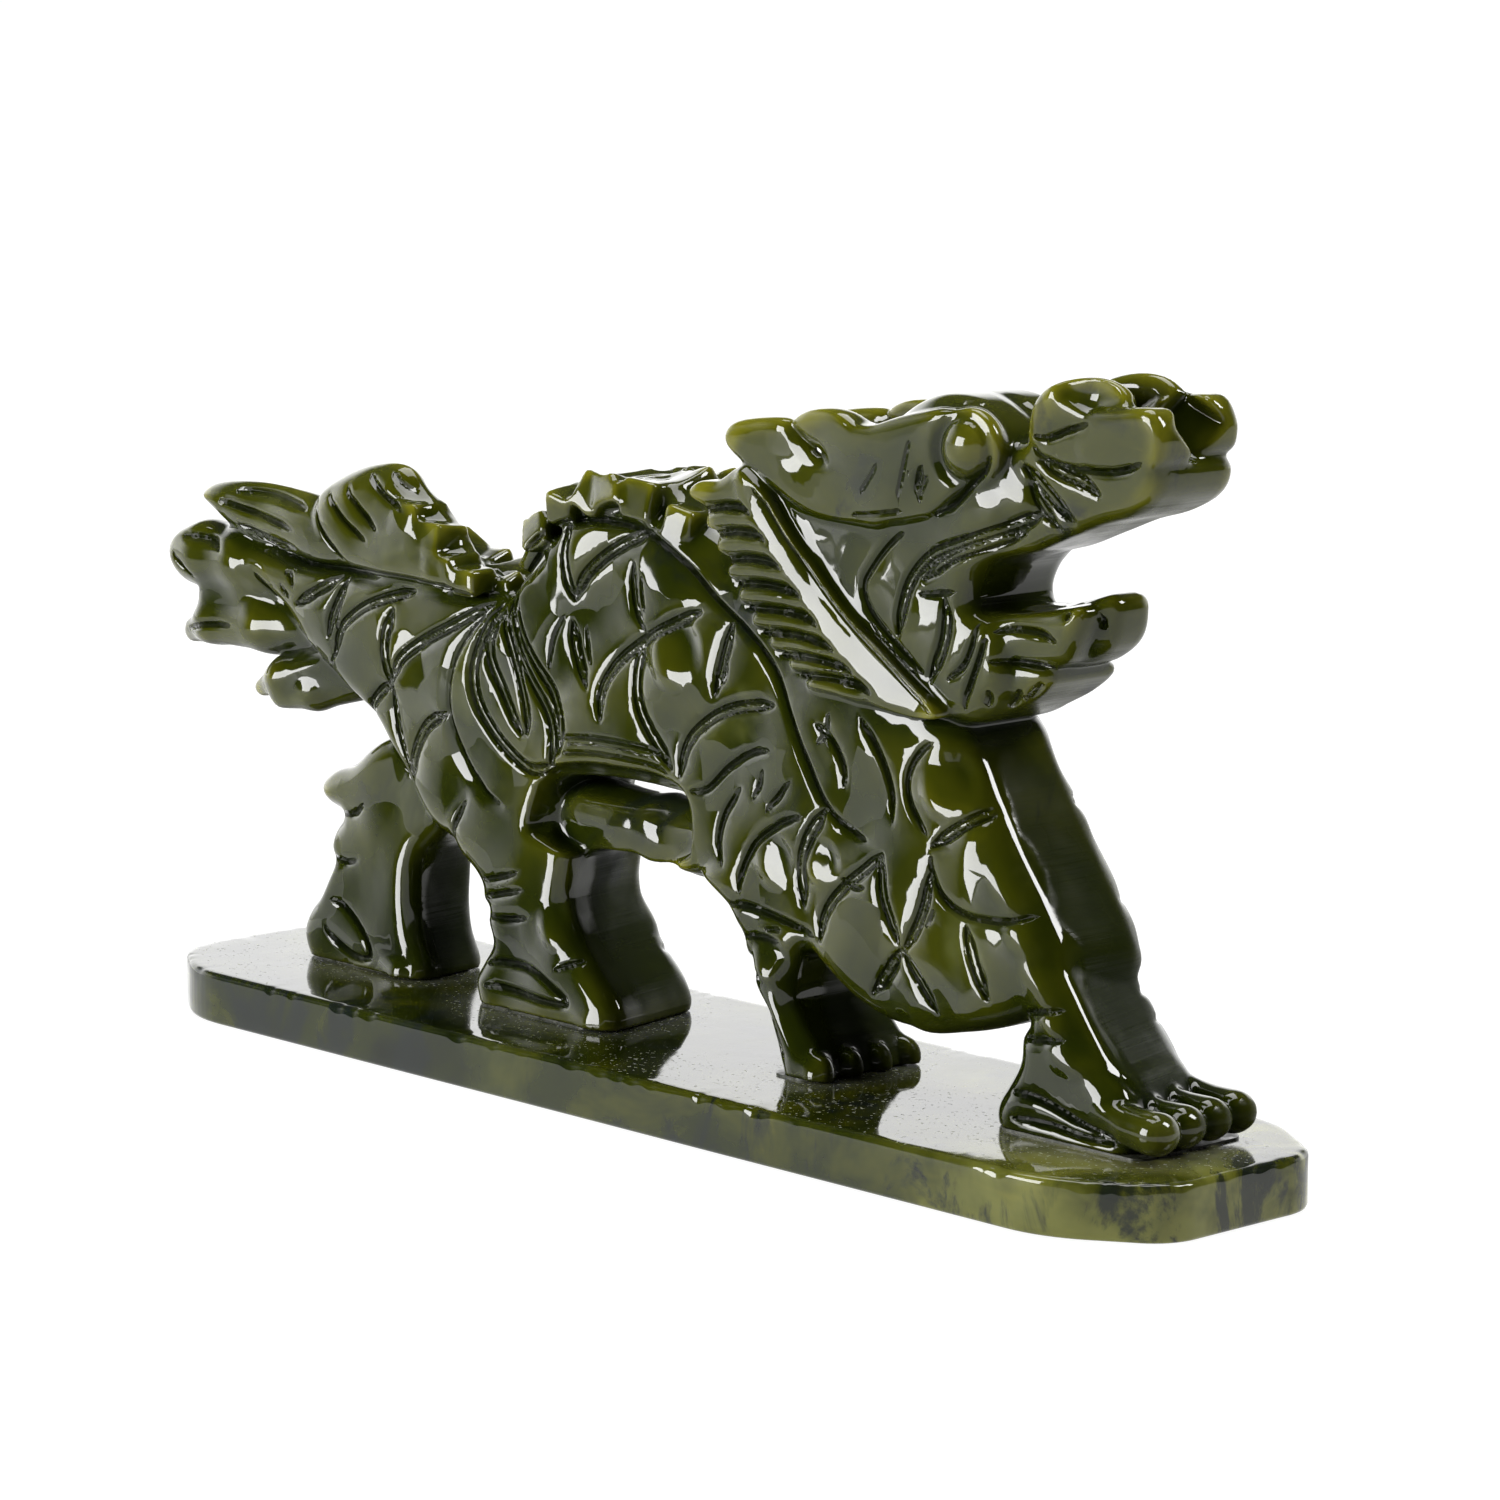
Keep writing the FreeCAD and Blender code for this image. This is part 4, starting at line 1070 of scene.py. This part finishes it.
def softbox(name, direction, away, width, height, brightness):
    """A rectangular softbox that faces the carving; brightness is the radiance of its front."""
    light = bpy.data.lights.new(name, "AREA")
    light.shape = "RECTANGLE"
    light.size, light.size_y = width, height
    light.energy = brightness * math.pi * width * height
    holder = bpy.data.objects.new(name, light)
    aim = ORIGIN + Vector((0, 0, 55)) * UNIT
    holder.location = aim + Vector(direction).normalized() * away
    holder.rotation_euler = Vector(direction).to_track_quat("Z", "Y").to_euler()
    bpy.context.scene.collection.objects.link(holder)


def build_studio():
    """Three softboxes, and a bright wall behind the carving in a room that is otherwise dark."""
    softbox("left_softbox", (-0.38, -0.88, 0.20), 0.95, 0.55, 0.45, 17.0)
    softbox("overhead_softbox", (-0.20, 0.07, 0.97), 1.1, 0.85, 0.85, 6.0)
    softbox("right_back_strip", (0.585, 0.43, 0.69), 1.2, 0.28, 0.5, 22.0)
    n = Nodes(bpy.data.worlds.new("studio"), "Background")
    aim = n.coordinates["Generated"]
    toward = n.add("ShaderNodeVectorMath", {0: aim, 1: BACKDROP_DIRECTION}, operation="DOT_PRODUCT")
    wall = n.rescale(toward.outputs["Value"], 0.1, 0.6, 0.04, 2.2)
    below_top = n.rescale(n.split(aim)[2], 0.34, 0.5, 1.0, 0.04)
    n.fill(n.shader, {"Color": (1, 1, 1, 1), "Strength": n.times(wall, below_top)})
    bpy.context.scene.world = n.owner
    bpy.context.scene.view_settings.view_transform = "Standard"


def build_camera():
    """The camera: at the corner off the dragon's head, a little above the slab."""
    camera = bpy.data.cameras.new("camera")
    camera.lens, camera.sensor_width, camera.clip_start = CAMERA_LENS, 36.0, 0.01
    holder = bpy.data.objects.new("camera", camera)
    bpy.context.scene.collection.objects.link(holder)
    holder.location = ORIGIN + Vector(CAMERA_PLACE) * UNIT
    holder.rotation_euler = Vector(CAMERA_DIRECTION).to_track_quat("-Z", "Y").to_euler()
    bpy.context.scene.camera = holder


# ---------------------------------------------------------------- the scene
carving = build_dragon().mesh("dragon_carving", MOST_FACES)
slab = build_slab(np.random.default_rng(4))
jade = {"dragon": jade_carving(), "base_slab": jade_slab()}
for piece, node, slot in ((carving, "dragon", "jade_carving"), (slab, "base_slab", "jade_slab")):
    bpy.context.scene.collection.objects.link(piece)
    piece.data.materials.append(jade[node])
    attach(piece, "root")
    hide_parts(node)
glue = cured_glue()
for name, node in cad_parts.items():
    node.data.materials.clear()
    node.data.materials.append(jade.get(name, glue))
white_floor()
build_studio()
build_camera()
